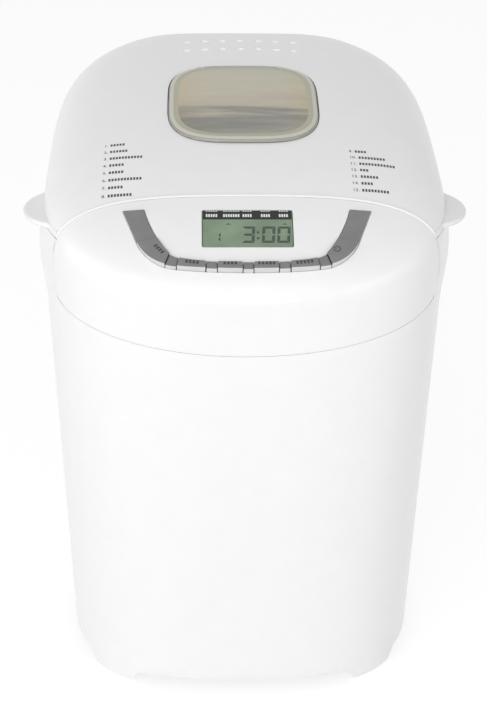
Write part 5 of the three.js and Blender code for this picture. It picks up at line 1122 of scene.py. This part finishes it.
def upright(centre, along, across, half, low, high):
    """A stroke that stands on a key's reading direction."""
    corners = ((-half, low), (half, low), (half, high), (-half, high))
    return [centre + along * a + across * b for a, b in corners]


def arc_steps(start, end, count):
    turns = np.linspace(start, end, count + 1)
    return list(zip(turns, turns[1:]))


def cap_place(name):
    """A key top's middle in the display's frame, the direction its mark reads in, and the one across."""
    first, second, side = KEYS[name]
    ends = []
    for end in (first, second):
        inner, outer = np.array(PARTINGS[end][0]), np.array(PARTINGS[end][1])
        ends.append(np.mean([inner, inner * 0.6 + outer * 0.4], axis=0) * [side, 1])
    if name in ("menu", "on_off"):
        ends = [ends[0] + [side * -0.4, 1.0], ends[1] + [side * -0.6, -2.0]]
    left, right = sorted(ends, key=lambda place: place[0])
    along = (right - left) / np.linalg.norm(right - left)
    outward = {"menu": (-1.6, -0.9), "on_off": (1.6, -0.9), "time": (0, -0.9), "cycle": (0, -0.9)}
    middle = (left + right) / 2 + outward.get(name, (0, -0.3))
    return middle, along, np.array([-along[1], along[0]])


def cap_mark(name, shapes):
    facing_up = [counter_clockwise(shape) for shape in shapes]
    flat_marks(f"key_{name}_mark", facing_up, DARK, CAP_TOP + 0.015, f"key_{name}_body")


def counter_clockwise(shape):
    area = sum(a[0] * b[1] - b[0] * a[1] for a, b in zip(shape, shape[1:] + shape[:1]))
    return shape if area > 0 else shape[::-1]


def silver_fronts_and_gap_shade(piece, finish):
    """The step along the band's outer edge takes a light silver finish, partly silver trim and partly painted
    highlight, and the sides towards a gap take the dark plastic as painted shade.
    """
    piece.data.materials.clear()
    for part in (finish, SILVER_HIGHLIGHT, DARK):
        piece.data.materials.append(part)
    inverse = DISPLAY_FRAME.inverted().to_3x3()
    middle = Vector((0, -8))
    for face in piece.data.polygons:
        normal = inverse @ face.normal
        if abs(normal.z) > 0.6:
            continue
        place = DISPLAY_FRAME.inverted() @ (face.center / MM)
        outward = (Vector((place.x, place.y * 1.6)) - middle).normalized()
        # Outward side faces take the light finish as silver trim with painted highlight; faces towards a gap
        # take the dark plastic as painted shade.
        face.material_index = 1 if Vector((normal.x, normal.y)).dot(outward) > 0.55 else 2


def key_bezel():
    """The grey band with a pocket for each key."""
    band = prism(band_outline(0), DISPLAY_FRAME, -8.2, 0.2)
    bezel = new_piece("key_bezel", *band, GREY, "machine", "grey_plastic", closed=True)
    for first, second, side in KEYS.values():
        carve(bezel, *prism(cell_outline(first, second, side, 0), DISPLAY_FRAME, -7.6, 6))
    round_edges(bezel, 0.4, 3, 40)
    silver_fronts_and_gap_shade(bezel, GREY)


def display():
    half, length = DISPLAY_HALF, DISPLAY_LENGTH
    glass = prism(rounded_rectangle(half, length / 2, 0.9, 120, -length / 2), DISPLAY_FRAME, -2.7, -0.3)
    lens = new_piece("display_lens", *glass, LCD, "machine", "display_glass", closed=True)
    round_edges(lens, 0.3, 3, 40)
    flat_marks("display_header", [quad(-half + 0.3, -0.3, half - 0.3, -6.9)], LCD_DARK, -0.28)
    flat_marks("display_digits", digits(), LCD_INK, -0.27)
    flat_marks("display_labels", header_marks(), LIGHT_INK, -0.26)


def quad(x0, y0, x1, y1):
    return [(x0, y1), (x1, y1), (x1, y0), (x0, y0)]


def flat_marks(name, shapes, finish, height, body="machine"):
    """Flat printed shapes lying in the display's frame."""
    points, faces = flat_faces(shapes)
    places = [tuple(DISPLAY_FRAME @ Vector((x, y, height))) for x, y in points]
    new_piece(name, places, faces, finish, body)


def flat_faces(shapes):
    """Points and faces of separate flat shapes."""
    points, faces = [], []
    for shape in shapes:
        faces.append(tuple(range(len(points), len(points) + len(shape))))
        points += [(x, y) for x, y in shape]
    return points, faces


SEGMENTS = {"0": "abcdef", "1": "bc", "3": "abcdg"}


def seven_segment(sign, x, y, width, height, bar):
    """The lit bars of one sign, from its lower left corner, leaning a little."""
    middle, top, gap = y + height / 2, y + height, 0.16
    left, right, tip = x, x + width, bar / 2
    near, far = left + bar + gap, right - bar - gap
    upper = [(0, middle + gap), (0, top - gap), (bar, top - bar - gap), (bar, middle + tip + gap)]
    lower = [(0, y + gap), (0, middle - gap), (bar, middle - tip - gap), (bar, y + bar + gap)]
    bars = {
        "a": [(left + gap, top), (near, top - bar), (far, top - bar), (right - gap, top)],
        "d": [(left + gap, y), (right - gap, y), (far, y + bar), (near, y + bar)],
        "g": [(left + tip + gap, middle), (near, middle - tip), (far, middle - tip),
              (right - tip - gap, middle), (far, middle + tip), (near, middle + tip)],
        "b": [(right - inward, up) for inward, up in upper],
        "c": [(right - inward, up) for inward, up in lower],
        "f": [(left + inward, up) for inward, up in upper],
        "e": [(left + inward, up) for inward, up in lower],
    }
    leaning = [[(px + 0.06 * (py - y), py) for px, py in bars[letter]] for letter in SEGMENTS[sign]]
    return [counter_clockwise(shape) for shape in leaning]


def digits():
    shapes = []
    for sign, x in (("3", -3.6), ("0", 7.6), ("0", 16.0)):
        shapes += seven_segment(sign, x, -24.4, 7.2, 12.2, 1.65)
    shapes += seven_segment("1", -18.6, -23.4, 3.4, 6.6, 1.0)
    for y in (-21.0, -16.6):
        shapes.append(quad(5.0, y + 0.8, 6.4, y - 0.8))
    for x in (-10.6, 20.8):
        shapes.append([(x - 1.5, -10.8), (x + 1.5, -10.8), (x, -9.7)])
    return shapes


def header_marks():
    """Short light strokes in two lines, where a display has its fixed labels."""
    shapes = []
    for x, count in ((-23.0, 5), (-13.4, 7), (-2.6, 4), (7.6, 4), (17.6, 4)):
        for step in range(count):
            left = x + step * 1.35
            shapes.append(quad(left, -2.9, left + 0.95, -5.1))
            shapes.append(quad(left, -0.4, left + 0.95, -1.0))
    return shapes


LISTS = {
    "left": (-81.6, -33.4, 6.75, (1, 2, 3, 4, 5, 6, 7, 8), (5, 6, 11, 5, 5, 11, 5, 8)),
    "right": (60.0, -41.2, 5.95, (9, 10, 11, 12, 13, 14, 15), (4, 9, 12, 3, 6, 4, 9)),
}


def lid_lists():
    """Numbered lines printed on the lid: plain numerals, and dashes in place of words."""
    for name, (x, y, pitch, numbers, lengths) in LISTS.items():
        shapes = []
        for row, (number, length) in enumerate(zip(numbers, lengths)):
            base = y - row * pitch
            shapes += numeral(f"{number}.", x, base)
            start = x + (3.6 if number < 10 else 5.4)
            lefts = [start + 1.75 * k for k in range(length)]
            shapes += [quad(left, base + 2.2, left + 1.15, base) for left in lefts]
        points, faces = flat_faces(shapes)
        places = [(px, py, dome_height(px, py) + 0.1) for px, py in points]
        new_piece(f"lid_list_{name}", places, faces, INK, "lid")


def numeral(text, x, y):
    """The faces of a number in the built-in typeface."""
    data = bpy.data.curves.new("numeral", "FONT")
    data.body, data.size, data.resolution_u = text, 3.3, 3
    holder = linked("numeral", data)
    mesh = holder.to_mesh()
    corners = [vertex.co.copy() for vertex in mesh.vertices]
    shapes = [[(x + corners[v].x, y + corners[v].y) for v in face.vertices] for face in mesh.polygons]
    holder.to_mesh_clear()
    bpy.data.objects.remove(holder)
    bpy.data.curves.remove(data)
    return shapes


# ------------------------------------------------------------ window, deck and feet

def ringed(rings):
    """A solid from closed lines of equal counts, the last joined to the first."""
    count = len(rings[0])
    last = (len(rings) - 1) * count
    joint = [(last + k, last + (k + 1) % count, (k + 1) % count, k) for k in range(count)]
    return np.concatenate(rings), grid_faces(len(rings), count) + joint


def window_pane():
    """A clear blister with a rounded side, in bands of tint from its foot to its top: painted shade at the
    foot and along the rear, and a light ring of painted highlight.
    """
    count = 200
    outside = [(-4.0, -4.4), (-4.0, -3.5), (0.35, -3.5), (0.35, 0.8), (0.5, 2.8), (1.4, 4.6), (2.6, 5.5),
               (3.6, 5.9), (6.6, 6.2), (12.0, 6.4), (24.0, 6.5), (36.0, 6.55)]
    inside = [(36.0, 4.9), (24.0, 4.8), (12.0, 4.4), (6.5, 4.0), (4.6, 3.4), (3.6, 2.2), (3.2, 0.4),
              (3.1, -4.4)]
    rings = []
    for inset, height in outside + inside:
        flat = window_outline(inset, count)
        lean = 0.34 - 0.12 * flat[:, 1:2] / WINDOW_LENGTH
        rings.append(in_frame(flat + [0, 0, 1] * (height * np.where(height > 0, lean, 1)), WINDOW_FRAME))
    points, faces = ringed(rings)
    upper, lower = len(outside) - 1, len(outside)
    faces = faces[:upper * count] + faces[lower * count:]
    cap, ceiling = range(upper * count, lower * count), range(lower * count, (lower + 1) * count)
    faces += [tuple(cap), tuple(ceiling)[::-1]]
    pane = new_piece("window_pane", points, faces, GLASS, "lid", "window_glass", 50)
    bands = [GLASS_PAINTED_SHADE] * 3 + [GLASS_SIDE] * 2 + [RING_HIGHLIGHT] * 2 + [RING_OLIVE]
    for finish in (GLASS_PAINTED_SHADE, GLASS_SIDE, RING_HIGHLIGHT, RING_OLIVE):
        pane.data.materials.append(finish)
    for at, face in enumerate(pane.data.polygons[:len(bands) * count]):
        finish = bands[at // count]
        # Along the rear the bands turn dark, a painted reflection of the collar's rear wall, and the inner
        # ring turns to the painted highlight.
        if (WINDOW_FRAME.inverted() @ (face.center / MM)).y > -5:
            finish = RING_HIGHLIGHT if finish == RING_OLIVE else GLASS_PAINTED_SHADE
        face.material_index = pane.data.materials.find(finish.name)


def window_collar():
    """The pale collar under the pane: a ledge, a rounded lip and walls down to the inner pane."""
    count, bottom = 160, SEAM + 19.5

    def low(inset):
        flat = rounded_rectangle(WINDOW_HALF - inset, WINDOW_DEPTH - inset, WINDOW_CORNER - inset, 720,
                                 WINDOW_MIDDLE, WINDOW_POWER)
        return even_loop(flat, count) + [0, 0, bottom]

    def high(inset, height):
        return in_frame(window_outline(inset, count), WINDOW_FRAME, height)

    flange = [high(3.4, -6.6), high(-3.6, -6.6), high(-3.6, -4.8), high(3.9, -4.8)]
    ledge = [high(3.9, -0.4), high(4.3, 0), high(7.2, 0), high(8.0, -0.4), high(8.3, -1.2)]
    rings = [low(3.4), *flange, *ledge, low(8.6)]
    new_piece("window_collar", *ringed(rings), COLLAR, "lid", "white_plastic", closed=True)


def inner_pane():
    """The flat pane below the collar."""
    reach = 3.5
    outline = rounded_rectangle(WINDOW_HALF + reach, WINDOW_DEPTH + reach, WINDOW_CORNER + reach, 160,
                                WINDOW_MIDDLE, WINDOW_POWER)
    low, high = [corner[2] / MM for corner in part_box("inner_pane")]
    solid = prism(outline, Matrix.Identity(4), low, high)
    # Its colours are painted reflections, darker and lighter from front to rear.
    pane = new_piece("inner_pane", *solid, PANE_PAINTED_REFLECTION, "lid", "window_glass", closed=True)
    round_edges(pane, 0.5, 3, 40)


def oven_ring(inset, corner, z):
    """A rounded rectangle inside the oven's walls."""
    return rounded_rectangle(OVEN_HALF - inset, OVEN_DEPTH - inset, corner, 240, OVEN_Y) + [0, 0, z]


def lid_liner():
    """The pressed dish that closes the oven, with rounded bends and a hole for the window."""
    flange, roof = SEAM + 1.8, SEAM + 15.9
    hole = rounded_rectangle(WINDOW_HALF, WINDOW_DEPTH, 25, 240, WINDOW_MIDDLE)
    below = [(-4.3, 24.3, 0), (3.9, 20, 0), (4.9, 20, 0.3), (5.6, 20, 1.4), (9.2, 20, 10.2), (10.2, 20, 12.0),
             (12.6, 20, 13.1), (20, 20, 13.1)]
    above = [(20, 20, 14.1), (12.2, 20, 14.1), (9.5, 20, 12.9), (8.3, 20, 10.5), (4.7, 20, 1.9),
             (3.9, 20, 1.0), (-4.3, 24.3, 1.0)]
    rings = [oven_ring(inset, corner, flange + rise) for inset, corner, rise in below]
    rings += [hole + [0, 0, roof - 1], hole + [0, 0, roof]]
    rings += [oven_ring(inset, corner, flange + rise) for inset, corner, rise in above]
    new_piece("lid_liner", *ringed(rings), SHEET, "lid", "sheet_steel", 50, True)


def pan_ring(inset, z):
    """A rounded rectangle on the pan's tapering wall."""
    taper = PAN_TAPER * (PAN_TOP - z) / (PAN_TOP - PAN_BOTTOM)
    half_x, half_y = PAN_HALF - taper - inset, PAN_DEPTH - taper - inset
    return rounded_rectangle(half_x, half_y, 26 - inset, 240, OVEN_Y) + [0, 0, z]


def pan_circle(radius, z):
    return rounded_rectangle(radius, radius, radius, 240, OVEN_Y) + [0, 0, z]


def bread_pan():
    """The coated pan: rounded bends, a rolled rim, a boss for the shaft, a skirt with lugs, and two ears."""
    ring, circle, base, top = pan_ring, pan_circle, PAN_BOTTOM, PAN_TOP
    outside = [circle(4.15, base), circle(36, base), ring(6, base), ring(2.2, base + 0.5),
               ring(0.6, base + 2), ring(0, base + 5), ring(0, top - 2.2), ring(-0.4, top - 2),
               ring(-2.6, top - 2), ring(-3, top - 1.6)]
    inside = [ring(-3, top - 0.5), ring(-2.5, top), ring(0.2, top), ring(1.2, top - 0.3), ring(1.6, top - 1),
              ring(1.6, base + 10), ring(2.3, base + 6), ring(4.4, base + 3), ring(8.5, base + 1.6),
              circle(36, base + 1.6), circle(8.4, base + 1.6), circle(7.2, base + 2.4), circle(7, base + 11),
              circle(6.2, base + 12), circle(4.15, base + 12)]
    pan = new_piece("bread_pan", *ringed(outside + inside), COATING, "pan", "pan_coating", 40, True)
    skirt = [circle(37, base + 1), circle(37, SKIRT_Z + 0.6), circle(36.5, SKIRT_Z), circle(35.5, SKIRT_Z),
             circle(35, SKIRT_Z + 0.6), circle(35, base + 1)]
    meshes = [raw_mesh(*ringed(skirt))]
    meshes += [pan_lug((quarter + 0.5) * TAU / 4) for quarter in range(4)]
    meshes += [pan_ear(side) for side in (-1, 1)]
    for mesh in meshes:
        facing_out(mesh)
    add_meshes(pan, meshes)


def pan_lug(middle):
    """A bayonet lug on the skirt, in a direction from the pan's axis."""
    sweep = np.linspace(-math.radians(6), math.radians(6), 9) + middle
    ring = [(40, turn) for turn in sweep] + [(36, turn) for turn in sweep[::-1]]
    outline = [(radius * math.cos(turn), OVEN_Y + radius * math.sin(turn), 0) for radius, turn in ring]
    return raw_mesh(*prism(np.array(outline), Matrix.Identity(4), SKIRT_Z, SKIRT_Z + 4))


def pan_ear(side):
    """A round ear on the pan's wall, with a blind socket for the bail."""
    def rod(radius, start, end):
        near, far = sorted((side * (BAIL_WALL + start), side * (BAIL_WALL + end)))
        return rounded_rod(radius, (near, OVEN_Y, BAIL_PIVOT), (far, OVEN_Y, BAIL_PIVOT))

    ear = tool(*rod(5.5, -1, 3))
    carve(ear, *rod(2.1, 0.8, 6))
    return taken(ear)


def pan_bail():
    """The pan's wire bail, lying back on the rim."""
    swing = math.asin((BAIL_DROP + BAIL_RADIUS + GAP) / BAIL_REACH)
    y, z = OVEN_Y + BAIL_REACH * math.cos(swing), BAIL_PIVOT + BAIL_REACH * math.sin(swing)
    start, half = BAIL_WALL + 1.1, PAN_HALF + 3 + BAIL_RADIUS + 0.7
    right = [(start, OVEN_Y, BAIL_PIVOT), (half, OVEN_Y, BAIL_PIVOT), (half, y, z)]
    corners = right + [(-px, py, pz) for px, py, pz in right[::-1]]
    bar = swept(rounded_path(corners, 18, 16), BAIL_RADIUS, 28)
    new_piece("pan_bail", *bar, BRIGHT, "bail", "bright_steel", 60, True)


def foot_pads():
    """Turned rubber pads with a hollow foot."""
    section = [(0, 0.8), (4.2, 0.8), (4.9, 0.5), (5.4, 0.1), (6.2, 0), (8.0, 0), (8.6, 0.3), (9.0, 1.0),
               (8.9, 1.8), (8.5, 3.6), (8.1, 4.0), (0, 4.0)]
    for row, y in (("front", FRONT_Y + 46), ("rear", BACK_Y - 46)):
        for side, x in (("left", -68), ("right", 68)):
            points, faces = spun(section, 64)
            places = [(px + x, py + y, pz) for px, py, pz in points]
            new_piece(f"foot_pad_{row}_{side}", places, faces, RUBBER, "machine", "rubber")


# ------------------------------------------------------------ build

bpy.context.scene.view_settings.view_transform = "Standard"
place_camera()
set_world()
make_floor()
for lamp_name, lamp in LAMPS.items():
    area_lamp(lamp_name, *lamp)
for build in (finish_nodes, lid_shell, outer_housing, deck_ring, lid_lists, control_fascia, key_caps,
              key_marks, key_bezel, display, window_pane, window_collar, inner_pane, lid_liner, bread_pan,
              pan_bail, foot_pads):
    build()
bpy.context.view_layer.update()
